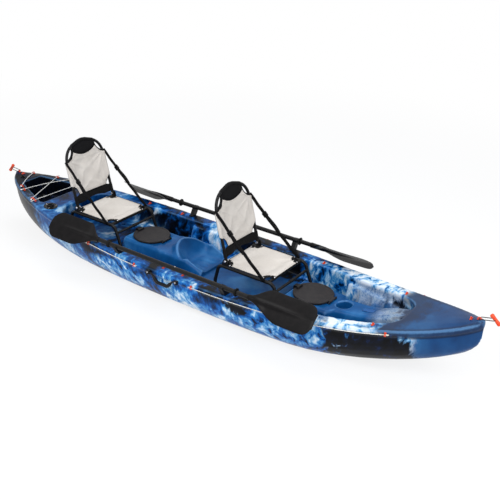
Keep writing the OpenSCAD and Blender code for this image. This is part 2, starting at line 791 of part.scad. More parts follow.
// Round bar between two points, and a tube bent round the corners of a path.
// The bends are a hair fuller than the straight runs and lap over their ends.
elbow_lap = 1;
elbow_swell = 0.3;
module rod(a, b, d) {
  v = b - a;
  translate(a)
    rotate([0, acos(v[2] / norm(v)), atan2(v[1], v[0])])
      cylinder(d = d, h = norm(v));
}
module bent_tube(p, d, r) {
  n = len(p);
  heading = [for (i = [0 : n - 2]) unit(p[i + 1] - p[i])];
  turn = [for (i = [0 : n - 1])
    i == 0 || i == n - 1 ? 0 : acos(min(1, max(-1, heading[i - 1] * heading[i])))];
  for (i = [0 : n - 2])
    rod(p[i] + heading[i] * (r * tan(turn[i] / 2) - (i == 0 ? 0 : elbow_lap)),
        p[i + 1] - heading[i] * (r * tan(turn[i + 1] / 2) - (i == n - 2 ? 0 : elbow_lap)), d);
  for (i = [1 : n - 2]) {
    along = heading[i - 1];
    inward = unit(heading[i] - (heading[i] * along) * along);
    axis = cross(-inward, along);
    c = p[i] - along * r * tan(turn[i] / 2) + inward * r;
    multmatrix([[-inward[0], along[0], axis[0], c[0]],
                [-inward[1], along[1], axis[1], c[1]],
                [-inward[2], along[2], axis[2], c[2]],
                [0, 0, 0, 1]])
      rotate_extrude(angle = turn[i])
        translate([r, 0]) circle(d = d + elbow_swell);
  }
}

module drain_plug() {
  color("black")
    on_deck(drain_x, drain_y)
      translate([0, 0, seat_gap - drain_seat]) {
        translate([0, 0, -20]) cylinder(d = drain_d, h = 20);
        cylinder(d = drain_flange_d, h = 5);
        translate([-drain_d / 2, -3, 4]) cube([drain_d, 6, 9]);
      }
}

// Toggle at each end: a grip on a cord loop that turns in its pad eye
loop_half = toggle_d / 2 + cord_d / 2 + 1;
loop_reach = 86;
loop_tilt = 0.8;
toggle_slope = 55;
module at_toggle(e) {
  x = e * toggle_eye_x;
  translate([x, 0, deck_at(x, 0) + (cord_lift - seat_gap) / cos(deck_pitch(x, 0))])
    mirror([e < 0 ? 1 : 0, 0, 0])
      rotate([0, -loop_tilt * atan(abs(sheer_slope(x))), 0])
        children();
}
module toggle_cord(e) {
  color("black")
    at_toggle(e) {
      bent_tube([[0, 0, 0], [0, loop_half, 0], [loop_reach, loop_half, 0],
                 [loop_reach, 0, 0]], cord_d, 6);
      bent_tube([[0, 0, 0], [0, -loop_half, 0], [loop_reach, -loop_half, 0],
                 [loop_reach, 0, 0]], cord_d, 6);
    }
}
module toggle(e) {
  color("orangered")
    at_toggle(e)
      translate([loop_reach, 0, 0])
        rotate([0, toggle_slope - 90, 0])
          difference() {
            rotate_extrude()
              polygon([[0, -toggle_length / 2], [toggle_d / 2 - 4, -toggle_length / 2],
                       [toggle_d / 2, 6 - toggle_length / 2], [toggle_d / 2 - 2, -10],
                       [toggle_d / 2 - 2, 10], [toggle_d / 2, toggle_length / 2 - 6],
                       [toggle_d / 2 - 4, toggle_length / 2], [0, toggle_length / 2]]);
            pin_along_y(cord_d + 0.6, 2 * toggle_d);
          }
}

// Seat base: two bent side tubes, three cross tubes, corner plates and rubber feet
front_foot = 100;
rear_foot = -398;
foot_d = 30;
foot_height = 26;
foot_sole = 5;
tab_thickness = 5;
rail_y = cockpit_half(rear_seat_x + rear_foot) - cockpit_draft - cockpit_fillet - foot_d / 2 - foot_room;
back_y = rail_y - tab_thickness / 2 - 2 * seat_gap - back_tube_d / 2;
sling_half = rail_y - 5;
function foot_z(x) = floor_height(x) + seat_gap;
module seat_tab(s, thickness) {
  translate([pivot_x, s * rail_y, 0])
    rotate([90, 0, 0])
      linear_extrude(thickness, center = true)
        union() {
          translate([0, pivot_z]) circle(d = 30);
          polygon([[-24, rail_height], [24, rail_height], [15, pivot_z], [-15, pivot_z]]);
        }
}
module seat_side_frames(x0) {
  front_z = foot_z(x0 + front_foot) + foot_sole + seat_gap;
  rear_z = foot_z(x0 + rear_foot) + foot_sole + seat_gap;
  color([0.1, 0.1, 0.11])
    translate([x0, 0, 0])
      for (s = sides)
        difference() {
          union() {
            bent_tube([[rear_foot, s * rail_y, rear_z], [rear_foot, s * rail_y, rear_z + 52],
                       [pivot_x - 45, s * rail_y, rail_height], [35, s * rail_y, rail_height],
                       [front_foot, s * rail_y, front_z + 58], [front_foot, s * rail_y, front_z]],
                      seat_tube_d, 40);
            seat_tab(s, tab_thickness);
          }
          translate([pivot_x, s * rail_y, pivot_z]) pin_along_y(pivot_d + 2 * run_gap, 40);
        }
}
lower_bar_share = 0.29;
lower_bar_d = seat_tube_d - 4;
module seat_cross_tubes(x0) {
  front_z = foot_z(x0 + front_foot) + foot_sole + seat_gap + 58;
  length = 2 * rail_y - seat_tube_d - 2 * seat_gap;
  color([0.1, 0.1, 0.11])
    translate([x0, 0, 0]) {
      for (x = [pivot_x - 10, 0])
        translate([x, 0, rail_height]) pin_along_y(seat_tube_d, length);
      translate([35 + (front_foot - 35) * lower_bar_share, 0,
                 rail_height + (front_z - rail_height) * lower_bar_share])
        union() {
          pin_along_y(lower_bar_d, length);
          pin_along_y(seat_tube_d, 44);
        }
    }
}
sling_aft = pivot_x - 22;
sling_fore = 12;
plate_thickness = 3;
module seat_corner_plates(x0) {
  color([0.06, 0.06, 0.07])
    translate([x0, 0, sling_z])
      linear_extrude(plate_thickness)
        for (s = sides, x = [sling_aft, sling_fore])
          intersection() {
            translate([x, s * sling_half]) circle(corner_cut - 1);
            translate([x < sling_aft / 2 ? x : x - corner_cut, s > 0 ? sling_half - corner_cut : -sling_half])
              square([corner_cut, corner_cut]);
          }
}
module seat_feet(x0) {
  color("black")
    for (x = [x0 + rear_foot, x0 + front_foot], s = sides)
      translate([x, s * rail_y, foot_z(x)])
        rotate_extrude()
          polygon([[0, 0], [foot_d / 2, 0], [foot_d / 2, 8], [seat_tube_d / 2 + 4, foot_height],
                   [seat_tube_d / 2 + seat_gap, foot_height], [seat_tube_d / 2 + seat_gap, foot_sole],
                   [0, foot_sole]]);
}
// Sling or panel made of rows; each row is [place, half width, hollow, thickness]
panel_columns = 10;
module panel(rows) {
  shares = [for (j = [0 : panel_columns]) 2 * j / panel_columns - 1];
  skin([for (r = rows) concat(
    [for (s = shares) [r[0], s * r[1], -r[2] * (1 - s * s)]],
    [for (s = [for (j = [panel_columns : -1 : 0]) shares[j]])
      [r[0], s * r[1], r[3] - r[2] * (1 - s * s)]])]);
}
function cut_half(half, cut, d) = d >= cut ? half : half - sqrt(cut * cut - d * d);
sling_thickness = 4;
module seat_pan(x0) {
  length = sling_fore - sling_aft;
  marks = [0, 0.25, 0.5, 0.75, 0.93, 1];
  places = concat([for (m = marks) m * corner_cut],
    [for (m = [1 : 4]) corner_cut + (length - 2 * corner_cut) * m / 5],
    [for (m = [5 : -1 : 0]) length - marks[m] * corner_cut]);
  color("antiquewhite")
    translate([x0 + sling_aft, 0, sling_z])
      panel([for (p = places)
        [p, cut_half(sling_half, corner_cut, min(p, length - p)),
         sling_sag * ease(0, corner_cut, min(p, length - p) - 30), sling_thickness]]);
}
module seat_pivot_bolts(x0) {
  shank_in = back_y - back_tube_d / 2 - seat_gap;
  shank_out = rail_y + tab_thickness / 2 + seat_gap;
  color("silver")
    for (s = sides)
      translate([x0 + pivot_x, 0, pivot_z])
        rotate([-90 * s, 0, 0]) {
          translate([0, 0, shank_in - 6]) cylinder(d = pivot_d, h = shank_out - shank_in + 10);
          translate([0, 0, shank_out]) cylinder(d1 = 16, d2 = 12, h = 4.5);
          translate([0, 0, shank_in - 6]) cylinder(d = 14, h = 6);
        }
}
module at_back(x0) {
  translate([x0 + pivot_x, 0, pivot_z])
    rotate([0, -back_lean, 0])
      children();
}
arch_r = 120;
module seat_back_frame(x0) {
  color([0.1, 0.1, 0.11])
    at_back(x0)
      difference() {
        bent_tube([[0, -back_y, -14], [0, -back_y, back_height - 40], [0, 0, back_height + 14],
                   [0, back_y, back_height - 40], [0, back_y, -14]], back_tube_d, arch_r);
        pin_along_y(pivot_d + 2 * run_gap, 3 * back_y);
      }
}
// Backrest cloth: flat outlines in the plane of the tube, cut by arcs
head_r = 175;
head_drop = 92;
hand_hole_r = 84;
panel_low = 100;
panel_t = 5;
panel_half = back_y - back_tube_d / 2 - seat_gap;
panel_taper = 3;
roof_slope = 54 / back_y;
function roof(y) = back_height - 9 - roof_slope * abs(y);
module upright(x0) {
  color_plane = [90, 0, 90];
  at_back(x0)
    rotate(color_plane)
      linear_extrude(panel_t, center = true)
        children();
}
module hand_holes() {
  for (s = sides)
    translate([s * (panel_half + 22), back_height - 34]) circle(hand_hole_r);
}
module head_disc(grow) {
  translate([0, back_height - head_drop + head_r]) circle(head_r + grow);
}
module seat_back_panel(x0) {
  color("antiquewhite")
    upright(x0)
      difference() {
        polygon([[-120, panel_low], [120, panel_low], [panel_half, panel_low + 66],
                 [panel_half - panel_taper, back_height - 70], [0, back_height - 20],
                 [panel_taper - panel_half, back_height - 70], [-panel_half, panel_low + 66]]);
        head_disc(seat_gap);
        hand_holes();
        for (s = sides)
          translate([s * (panel_half + 34), panel_low - 6]) circle(84);
      }
}
module seat_head_panel(x0) {
  color([0.05, 0.05, 0.05])
    upright(x0)
      difference() {
        intersection() {
          head_disc(0);
          polygon([[-30, roof(30)], [0, roof(12)], [30, roof(30)], [panel_half, roof(panel_half)],
                   [panel_half, 0], [-panel_half, 0], [-panel_half, roof(panel_half)]]);
        }
        hand_holes();
      }
}
band_low = 24;
band_arch = 14;
band_r = 314;
module seat_lumbar_band(x0) {
  color([0.07, 0.07, 0.07])
    upright(x0)
      difference() {
        polygon([[-panel_half, band_low], [panel_half, band_low], [panel_half, panel_low - 24],
                 [120, panel_low - seat_gap], [-120, panel_low - seat_gap],
                 [-panel_half, panel_low - 24]]);
        translate([0, band_low + band_arch - band_r]) circle(band_r);
      }
}
strap_hold = 330;
strap_t = 2;
function strap_foot(x0, s) =
  [x0 - 20, s * (rail_y + seat_tube_d / 2 + strap_t / 2 + seat_gap), rail_height + 6];
function strap_head(x0, s) =
  [x0 + pivot_x - strap_hold * sin(back_lean), s * (back_y + back_tube_d / 2 + strap_t / 2 + seat_gap),
   pivot_z + strap_hold * cos(back_lean)];
module seat_straps(x0) {
  color([0.08, 0.08, 0.08])
    for (s = sides) {
      a = strap_foot(x0, s);
      b = strap_head(x0, s);
      across = unit([b[2] - a[2], 0, a[0] - b[0]]) * strap_width / 2;
      thick = [0, strap_t / 2, 0];
      skin([for (p = [b, a])
        [p + across + thick, p - across + thick, p - across - thick, p + across - thick]]);
    }
}
buckle_share = 0.32;
module seat_buckles(x0) {
  color("black")
    for (s = sides) {
      a = strap_foot(x0, s);
      b = strap_head(x0, s);
      translate(b + (a - b) * buckle_share)
        rotate([0, atan2(b[0] - a[0], b[2] - a[2]), 0])
          difference() {
            cube([strap_width + 12, 9, 34], center = true);
            cube([strap_width + 1.6, strap_t + 2, 40], center = true);
          }
    }
}

// Paddle: two blades on a shaft of two tubes that join at the middle
paddle_x = 20;
shaft_half = paddle_length / 2 - blade_length;
drip_ring_x = shaft_half - 92;
drip_ring_half = 7;
rest_x = drip_ring_x - drip_ring_half - rest_gap - rest_width / 2 - abs(port_shift - paddle_x);
socket = 50;
spigot_length = 90;
button_x = 46;
button_d = 8;
shaft_bore = shaft_d - 2 * shaft_wall;
module at_paddle(s) {
  translate([paddle_x - (s > 0 ? port_shift : 0), s * paddle_y, paddle_height])
    children();
}
module along_x(d, a, b) {
  translate([a, 0, 0])
    rotate([0, 90, 0])
      cylinder(d = d, h = b - a);
}
blade_points = 14;
neck_r = shaft_d / 2 + 3;
// One long edge swells soon after the neck and the other later; the tip is blunt
tip_start = 0.84;
function blade_half(u, edge) =
  (neck_r + (blade_width / 2 - neck_r) * ease(0.02, edge > 0 ? 0.3 : 0.52, u))
  * (u < tip_start ? 1 : pow(max(0.2, 1 - pow((u - tip_start) / (1 - tip_start), 2.4)), 0.42));
function blade_thick(u) = 3 + (neck_r - 3) * (1 - ease(0.1, 0.6, u));
module paddle_blades(s) {
  rows = [0, 0.08, 0.14, 0.2, 0.26, 0.34, 0.44, 0.56, 0.7, 0.84, 0.91, 0.96, 0.985, 1];
  spoon = 12;
  color([0.07, 0.07, 0.08])
    at_paddle(s)
      for (e = sides)
        mirror([e < 0 ? 1 : 0, 0, 0])
          rotate([-s * blade_slope, 0, 0])
            difference() {
              skin([for (u = rows)
                [for (k = [0 : blade_points - 1])
                  let (a = -360 * k / blade_points)
                  [shaft_half + u * blade_length, blade_half(u, -s * cos(a)) * cos(a),
                   blade_thick(u) * sin(a) + spoon * pow(max(0, u - 0.25), 2)]]]);
              along_x(shaft_d + 2 * seat_gap, shaft_half - 1, shaft_half + socket + seat_gap);
            }
}
module paddle_fore_shaft(s) {
  color([0.09, 0.09, 0.1])
    at_paddle(s)
      difference() {
        along_x(shaft_d, seat_gap, shaft_half + socket);
        along_x(shaft_bore, -1, shaft_half + socket + 1);
        translate([button_x, 0, 0]) cylinder(d = button_d + 2 * run_gap, h = shaft_d);
      }
}
module paddle_aft_shaft(s) {
  spigot_d = shaft_bore - 2 * run_gap;
  color([0.09, 0.09, 0.1])
    at_paddle(s)
      difference() {
        union() {
          along_x(shaft_d, -shaft_half - socket, 0);
          along_x(spigot_d, -1, spigot_length);
        }
        along_x(spigot_d - 4, -shaft_half - socket - 1, spigot_length + 1);
        translate([button_x, 0, 0]) cylinder(d = button_d + 2 * run_gap, h = shaft_d);
      }
}
module paddle_drip_rings(s) {
  ring_d = shaft_d + 24;
  color("black")
    at_paddle(s)
      for (e = sides)
        translate([e * drip_ring_x, 0, 0])
          rotate([0, e * 90, 0])
            rotate_extrude()
              polygon([[shaft_d / 2 + seat_gap, -drip_ring_half], [shaft_d / 2 + 4, -drip_ring_half],
                       [shaft_d / 2 + 5, 0], [ring_d / 2, 4], [ring_d / 2, drip_ring_half],
                       [shaft_d / 2 + seat_gap, 5]]);
}
module paddle_button(s) {
  inside = shaft_bore / 2 - 3.8;
  color("silver")
    at_paddle(s)
      translate([button_x, 0, 0]) {
        translate([0, 0, inside]) cylinder(d = button_d, h = shaft_d / 2 + 1.6 - inside);
        translate([0, 0, inside - 1.4]) cylinder(d = button_d + 2, h = 1.4);
      }
}

hull_shell();
hatch_frame(front_hatch_x);  // front_hatch_frame
hatch_frame(rear_hatch_x);  // rear_hatch_frame
hatch_gaskets();
hatch_hinge_pins();
deck_screws();
rod_holder(-1);  // starboard_rod_holder
rod_holder(1);  // port_rod_holder
pad_eyes();
tank_well_bungee();
deck_lines();
paddle_rests();
handle_brackets();
drain_plug();
hatch_lid(front_hatch_x);  // front_hatch_lid
hatch_lid(rear_hatch_x);  // rear_hatch_lid
hatch_latch(front_hatch_x);  // front_hatch_latch
hatch_latch(rear_hatch_x);  // rear_hatch_latch
toggle(1);  // bow_toggle
toggle_cord(1);  // bow_toggle_cord
toggle(-1);  // stern_toggle
toggle_cord(-1);  // stern_toggle_cord
handle(-1);  // starboard_handle
handle(1);  // port_handle
seat_side_frames(front_seat_x);  // front_seat_side_frames
seat_cross_tubes(front_seat_x);  // front_seat_cross_tubes
seat_corner_plates(front_seat_x);  // front_seat_corner_plates
seat_feet(front_seat_x);  // front_seat_feet
seat_pan(front_seat_x);  // front_seat_pan
seat_pivot_bolts(front_seat_x);  // front_seat_pivot_bolts
seat_back_frame(front_seat_x);  // front_seat_back_frame
seat_back_panel(front_seat_x);  // front_seat_back_panel
seat_head_panel(front_seat_x);  // front_seat_head_panel
seat_lumbar_band(front_seat_x);  // front_seat_lumbar_band
seat_straps(front_seat_x);  // front_seat_straps
seat_buckles(front_seat_x);  // front_seat_buckles
seat_side_frames(rear_seat_x);  // rear_seat_side_frames
seat_cross_tubes(rear_seat_x);  // rear_seat_cross_tubes
seat_corner_plates(rear_seat_x);  // rear_seat_corner_plates
seat_feet(rear_seat_x);  // rear_seat_feet
seat_pan(rear_seat_x);  // rear_seat_pan
seat_pivot_bolts(rear_seat_x);  // rear_seat_pivot_bolts
seat_back_frame(rear_seat_x);  // rear_seat_back_frame
seat_back_panel(rear_seat_x);  // rear_seat_back_panel
seat_head_panel(rear_seat_x);  // rear_seat_head_panel
seat_lumbar_band(rear_seat_x);  // rear_seat_lumbar_band
seat_straps(rear_seat_x);  // rear_seat_straps
seat_buckles(rear_seat_x);  // rear_seat_buckles
paddle_blades(-1);  // starboard_paddle_blades
paddle_fore_shaft(-1);  // starboard_paddle_fore_shaft
paddle_aft_shaft(-1);  // starboard_paddle_aft_shaft
paddle_drip_rings(-1);  // starboard_paddle_drip_rings
paddle_button(-1);  // starboard_paddle_button
paddle_blades(1);  // port_paddle_blades
paddle_fore_shaft(1);  // port_paddle_fore_shaft
paddle_aft_shaft(1);  // port_paddle_aft_shaft
paddle_drip_rings(1);  // port_paddle_drip_rings
paddle_button(1);  // port_paddle_button
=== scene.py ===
# %% [markdown]
# A sit-on-top tandem kayak, dressed in Blender.
# The CAD model gives every piece its place. This script loads it as a fixed frame and adds what
# CAD leaves plain: the soft moulded edges and marbled colour of the hull, cloth that hangs in its
# tubes, webbing, cords and finishes. Lengths are metres, +X runs to the bow and +Y to port.

import json
import math
from functools import partial

import bmesh
import bpy
from mathutils import Matrix, Vector


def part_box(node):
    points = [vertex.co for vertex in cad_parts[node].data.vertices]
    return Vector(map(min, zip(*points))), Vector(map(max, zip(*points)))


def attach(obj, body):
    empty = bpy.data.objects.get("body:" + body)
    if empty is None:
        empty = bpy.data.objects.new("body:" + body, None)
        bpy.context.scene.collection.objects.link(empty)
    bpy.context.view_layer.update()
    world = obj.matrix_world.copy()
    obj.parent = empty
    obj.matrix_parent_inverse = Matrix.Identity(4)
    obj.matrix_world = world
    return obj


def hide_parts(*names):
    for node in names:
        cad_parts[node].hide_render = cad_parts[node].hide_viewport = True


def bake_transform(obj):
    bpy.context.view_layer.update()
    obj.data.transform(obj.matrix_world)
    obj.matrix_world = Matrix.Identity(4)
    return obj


SIDES = ((-1, "starboard"), (1, "port"))
ENDS = ((1, "fore"), (-1, "aft"))

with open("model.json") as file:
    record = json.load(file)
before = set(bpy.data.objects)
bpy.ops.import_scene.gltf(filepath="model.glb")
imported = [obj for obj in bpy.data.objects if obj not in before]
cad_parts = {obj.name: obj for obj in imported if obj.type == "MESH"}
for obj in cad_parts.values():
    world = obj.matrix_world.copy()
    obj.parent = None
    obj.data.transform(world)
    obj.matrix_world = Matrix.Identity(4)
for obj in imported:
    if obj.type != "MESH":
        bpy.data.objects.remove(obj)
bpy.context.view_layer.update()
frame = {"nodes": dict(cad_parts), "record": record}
nodes = frame["nodes"]


def in_scene(name, data):
    """A new object at the origin of the scene."""
    made = bpy.data.objects.new(name, data)
    bpy.context.scene.collection.objects.link(made)
    return made


# %% [markdown]
# The camera comes first, so that every later choice can be compared with the photograph.
# Its place was found by matching known points of the kayak with the picture: it looks down on the
# starboard bow from about five metres, with a slight roll.

# %% Camera
AIM = Vector((0.3395, 0, 0.3986))
CAMERA_PLACE = Vector((2.8479, -3.7086, 2.6419))
CAMERA_HEADING = math.radians(34.073)
CAMERA_ROLL = math.radians(2.2745)
FOCAL_LENGTH = 56.83

ahead = (AIM - CAMERA_PLACE).normalized()
level = Vector((math.cos(CAMERA_HEADING), math.sin(CAMERA_HEADING), 0))
upward = level.cross(ahead)
camera_right = level * math.cos(CAMERA_ROLL) + upward * math.sin(CAMERA_ROLL)
camera_top = upward * math.cos(CAMERA_ROLL) - level * math.sin(CAMERA_ROLL)
lens = bpy.data.cameras.new("photo_camera")
lens.lens = FOCAL_LENGTH
lens.sensor_width = 36
lens.sensor_fit = "HORIZONTAL"
camera = in_scene("photo_camera", lens)
turn = Matrix((camera_right, camera_top, -ahead)).transposed().to_4x4()
camera.matrix_world = Matrix.Translation(CAMERA_PLACE) @ turn
bpy.context.scene.camera = camera
bpy.context.scene.view_settings.view_transform = "Standard"
print("camera at", tuple(camera.location))

# %% [markdown]
# Finishes are built from nodes. A few short helpers keep each recipe readable: one starts a
# material on the Principled shader, one adds a node, and three do the arithmetic that patterns
# need. Colours are written as they look on a screen and turned into Blender's linear values.

# %% Helpers for finishes
def tone(red, green, blue):
    """A screen colour from 0 to 255 as linear red, green, blue and alpha."""
    linear = []
    for value in (red, green, blue):
        share = value / 255
        linear.append(share / 12.92 if share <= 0.04045 else ((share + 0.055) / 1.055) ** 2.4)
    return (*linear, 1.0)


def start_finish(name, colour, roughness, **sockets):
    finish = bpy.data.materials.new(name)
    finish.use_nodes = True
    shader = finish.node_tree.nodes["Principled BSDF"]
    shader.inputs["Base Color"].default_value = colour
    shader.inputs["Roughness"].default_value = roughness
    for socket, value in sockets.items():
        shader.inputs[socket.replace("_", " ")].default_value = value
    return finish


def shader_input(finish, socket):
    return finish.node_tree.nodes["Principled BSDF"].inputs[socket]


def wire(finish, source, target):
    finish.node_tree.links.new(source, target)


def feed(finish, socket, value):
    """Links another node's socket, or sets a plain value."""
    if isinstance(value, bpy.types.NodeSocket):
        wire(finish, value, socket)
    else:
        socket.default_value = value


def add(finish, kind, **inputs):
    """A node whose inputs are fed by name."""
    made = finish.node_tree.nodes.new("ShaderNode" + kind)
    for name, value in inputs.items():
        feed(finish, made.inputs[name.replace("_", " ")], value)
    return made


def calc(finish, operation, *values):
    made = add(finish, "Math")
    made.operation = operation
    for socket, value in zip(made.inputs, values):
        feed(finish, socket, value)
    return made.outputs[0]


def span(finish, value, low, high):
    """0 below low, 1 above high, and smooth between them; low may be the larger one."""
    made = add(finish, "MapRange", Value=value, From_Min=low, From_Max=high)
    made.interpolation_type = "SMOOTHSTEP"
    return made.outputs["Result"]


def mixed(finish, share, first, second):
    """The first colour at a share of 0 and the second at 1."""
    made = add(finish, "Mix")
    made.data_type = "RGBA"
    for number, value in ((0, share), (6, first), (7, second)):
        feed(finish, made.inputs[number], value)
    return made.outputs[2]


def object_place(finish):
    return add(finish, "TexCoord").outputs["Object"]


def noise_of(finish, place, scale, detail=4.0, roughness=0.55, distortion=0.0):
    return add(finish, "TexNoise", Vector=place, Scale=scale, Detail=detail,
               Roughness=roughness, Distortion=distortion).outputs["Fac"]


def bump(finish, height, strength, distance):
    made = add(finish, "Bump", Height=height, Strength=strength, Distance=distance)
    wire(finish, made.outputs["Normal"], shader_input(finish, "Normal"))


print("helpers ready")

# %% [markdown]
# The scene is a pale floor under soft studio light. The floor and the sky are white for the camera
# and for reflections, while the lamps stay at a plain level so that colours render as written.
# Near the hull the floor keeps part of its own shading, which leaves a soft shadow, and further off
# it fades to white, so that no horizon shows.

# %% Floor, sky and lamps
SKY_TINT, SKY_STRENGTH = (0.86, 0.92, 1.0, 1), 0.5
FLOOR_GLOW, FLOOR_HALF = 0.82, 60
FADE_START, FADE_END = 1.8, 6.0


def in_sight(owner):
    """1 for what the camera sees directly, in a reflection or through glass."""
    rays = add(owner, "LightPath").outputs
    share = rays["Is Camera Ray"]
    for kind in ("Is Glossy Ray", "Is Transmission Ray"):
        share = calc(owner, "MAXIMUM", share, rays[kind])
    return share


def show(owner, output, share, first, second):
    """Shows the first shader at a share of 0 and the second at 1."""
    choose = add(owner, "MixShader")
    for socket, source in zip(choose.inputs, (share, first, second)):
        wire(owner, source, socket)
    wire(owner, choose.outputs[0], owner.node_tree.nodes[output].inputs["Surface"])


world = bpy.data.worlds.new("studio")
world.use_nodes = True
bpy.context.scene.world = world
sky_light = world.node_tree.nodes["Background"]
sky_light.inputs["Color"].default_value = SKY_TINT
sky_light.inputs["Strength"].default_value = SKY_STRENGTH
sky_white = add(world, "Background", Color=(1, 1, 1, 1), Strength=1.0)
show(world, "World Output", in_sight(world), sky_light.outputs[0], sky_white.outputs[0])

floor_paint = start_finish("studio_floor", (0.9, 0.9, 0.9, 1), 0.9)
from_middle = add(floor_paint, "VectorMath")
from_middle.operation = "LENGTH"
wire(floor_paint, object_place(floor_paint), from_middle.inputs[0])
far_off = span(floor_paint, from_middle.outputs["Value"], FADE_START, FADE_END)
glow = calc(floor_paint, "ADD", calc(floor_paint, "MULTIPLY", far_off, 1 - FLOOR_GLOW), FLOOR_GLOW)
floor_lit = floor_paint.node_tree.nodes["Principled BSDF"].outputs[0]
floor_white = add(floor_paint, "Emission", Strength=1.0).outputs[0]
show(floor_paint, "Material Output", calc(floor_paint, "MULTIPLY", in_sight(floor_paint), glow),
     floor_lit, floor_white)

floor_shape = bmesh.new()
bmesh.ops.create_grid(floor_shape, x_segments=1, y_segments=1, size=FLOOR_HALF)
floor_mesh = bpy.data.meshes.new("floor")
floor_shape.to_mesh(floor_mesh)
floor_shape.free()
floor = in_scene("floor", floor_mesh)
floor.data.materials.append(floor_paint)


def lamp(name, place, aim, size, power):
    light = bpy.data.lights.new(name, "AREA")
    light.energy = power
    light.size = size
    direction = Vector(aim) - Vector(place)
    turn = direction.to_track_quat("-Z", "Y").to_matrix().to_4x4()
    in_scene(name, light).matrix_world = Matrix.Translation(place) @ turn


lamp("key", (0.2, -4.6, 4.6), (0, 0, 0.2), 3.0, 215)
lamp("fill", (4.6, -1.0, 2.6), (1, 0, 0.3), 2.5, 120)
lamp("top", (-0.5, 1.0, 5.0), (0, 0, 0.3), 4.0, 115)
print("studio ready")

# %% [markdown]
# Rotomoulded hulls like this one get their marbling from coloured powders that melt together in
# the mould. Noise that is bent by a second noise gives the same swirls and runs. A few values place
# every later mask on the hull: the distance below the sheer line, the distance inboard of the
# gunwale, and the distance along the keel, all worked out from the same lines as the CAD hull.

# %% Hull lines
HALF_LENGTH, HALF_BEAM, GUNWALE = 1.875, 0.420, 0.280
BOW_RISE, BOW_POWER = 0.175, 3.4
STERN_RISE, STERN_POWER = 0.092, 1.8
PLAN_POWER, PLAN_ROUND = 2.4, 0.67


def colour_steps(finish, value, steps):
    made = add(finish, "ValToRGB", Fac=value)
    bar = made.color_ramp
    bar.elements[0].position, bar.elements[0].color = steps[0]
    bar.elements[1].position, bar.elements[1].color = steps[-1]
    for position, colour in steps[1:-1]:
        bar.elements.new(position).color = colour
    return made.outputs["Color"]


def between(finish, value, start, full, full_end, end):
    """1 from full to full_end, falling to 0 at start and end."""
    return calc(finish, "MULTIPLY", span(finish, value, start, full), span(finish, value, end, full_end))


def all_of(finish, *shares):
    product = shares[0]
    for share in shares[1:]:
        product = calc(finish, "MULTIPLY", product, share)
    return product


hull_finish = start_finish("marbled_hull", tone(4, 58, 114), 0.3, Specular_IOR_Level=0.1)
plus, less, times, over, power = (partial(calc, hull_finish, operation) for operation in
                                  ("ADD", "SUBTRACT", "MULTIPLY", "DIVIDE", "POWER"))
unsigned = partial(calc, hull_finish, "ABSOLUTE")
step = partial(span, hull_finish)
stretch = partial(between, hull_finish)
masked = partial(all_of, hull_finish)
ramp = partial(colour_steps, hull_finish)
paint = partial(mixed, hull_finish)
grain_of = partial(noise_of, hull_finish)

place = object_place(hull_finish)
axes = add(hull_finish, "SeparateXYZ", Vector=place)
along, across, height = (axes.outputs[axis] for axis in "XYZ")
aside = unsigned(across)
reach = over(unsigned(along), HALF_LENGTH)
is_fore = step(along, -0.01, 0.01)
bow_sheer = times(times(power(reach, BOW_POWER), BOW_RISE), is_fore)
stern_sheer = times(times(power(reach, STERN_POWER), STERN_RISE), less(1.0, is_fore))
below = less(plus(plus(bow_sheer, stern_sheer), GUNWALE), height)
beam = times(power(less(1.0, power(reach, PLAN_POWER)), PLAN_ROUND), HALF_BEAM)
inset = less(beam, aside)
starboard = step(across, 0.0, -0.05)
port = step(across, 0.0, 0.05)
print("hull lines are nodes")

# %% [markdown]
# The marbling itself is one broad noise and one fine noise on bent coordinates. They are drawn out
# in height, because the powder runs down the sides of the mould, and the mix turns paler low down.
# Ramps turn the noises into the colours of the powders, from near black to off white.

# %% Marbling
NAVY = tone(4, 5, 8)
DEEP_BLUE = tone(2, 24, 50)
ROYAL_BLUE = tone(4, 58, 114)
VIVID_BLUE = tone(6, 90, 170)
SKY_BLUE = tone(64, 136, 190)
PALE_BLUE = tone(150, 188, 218)
OFF_WHITE = tone(216, 224, 232)

swirl = add(hull_finish, "TexNoise", Vector=place, Scale=2.6, Detail=3.0).outputs["Color"]
push = add(hull_finish, "VectorMath")
push.operation = "MULTIPLY_ADD"
wire(hull_finish, swirl, push.inputs[0])
push.inputs[1].default_value = (0.2, 0.2, 0.12)
wire(hull_finish, place, push.inputs[2])
drawn_out = add(hull_finish, "Mapping", Vector=push.outputs[0], Scale=(1.2, 1.0, 0.7)).outputs["Vector"]
broad = grain_of(drawn_out, 4.2, 4.0, 0.5)
fine = grain_of(drawn_out, 19.0, 8.0, 0.62, 0.35)
speckle = grain_of(place, 95.0, 4.0, 0.7)
ragged = less(plus(broad, fine), 1.0)
rough_edge = times(ragged, 2.6)
lowness = step(height, 0.26, 0.08)
powder = plus(plus(times(broad, 0.64), times(fine, 0.4)), times(lowness, 0.035))
marble = ramp(powder, [
    (0.455, NAVY), (0.49, DEEP_BLUE), (0.53, ROYAL_BLUE), (0.572, VIVID_BLUE),
    (0.605, SKY_BLUE), (0.636, PALE_BLUE), (0.675, OFF_WHITE)])
deep = ramp(powder, [
    (0.38, DEEP_BLUE), (0.46, tone(2, 46, 98)), (0.54, tone(8, 72, 134)),
    (0.6, tone(44, 112, 172)), (0.66, PALE_BLUE)])
cloudy = ramp(fine, [
    (0.37, DEEP_BLUE), (0.43, VIVID_BLUE), (0.51, SKY_BLUE), (0.58, PALE_BLUE), (0.67, OFF_WHITE)])
white = ramp(fine, [(0.35, ROYAL_BLUE), (0.42, SKY_BLUE), (0.475, PALE_BLUE), (0.54, OFF_WHITE)])
night = ramp(fine, [(0.4, NAVY), (0.58, tone(8, 13, 26)), (0.7, tone(8, 40, 88))])
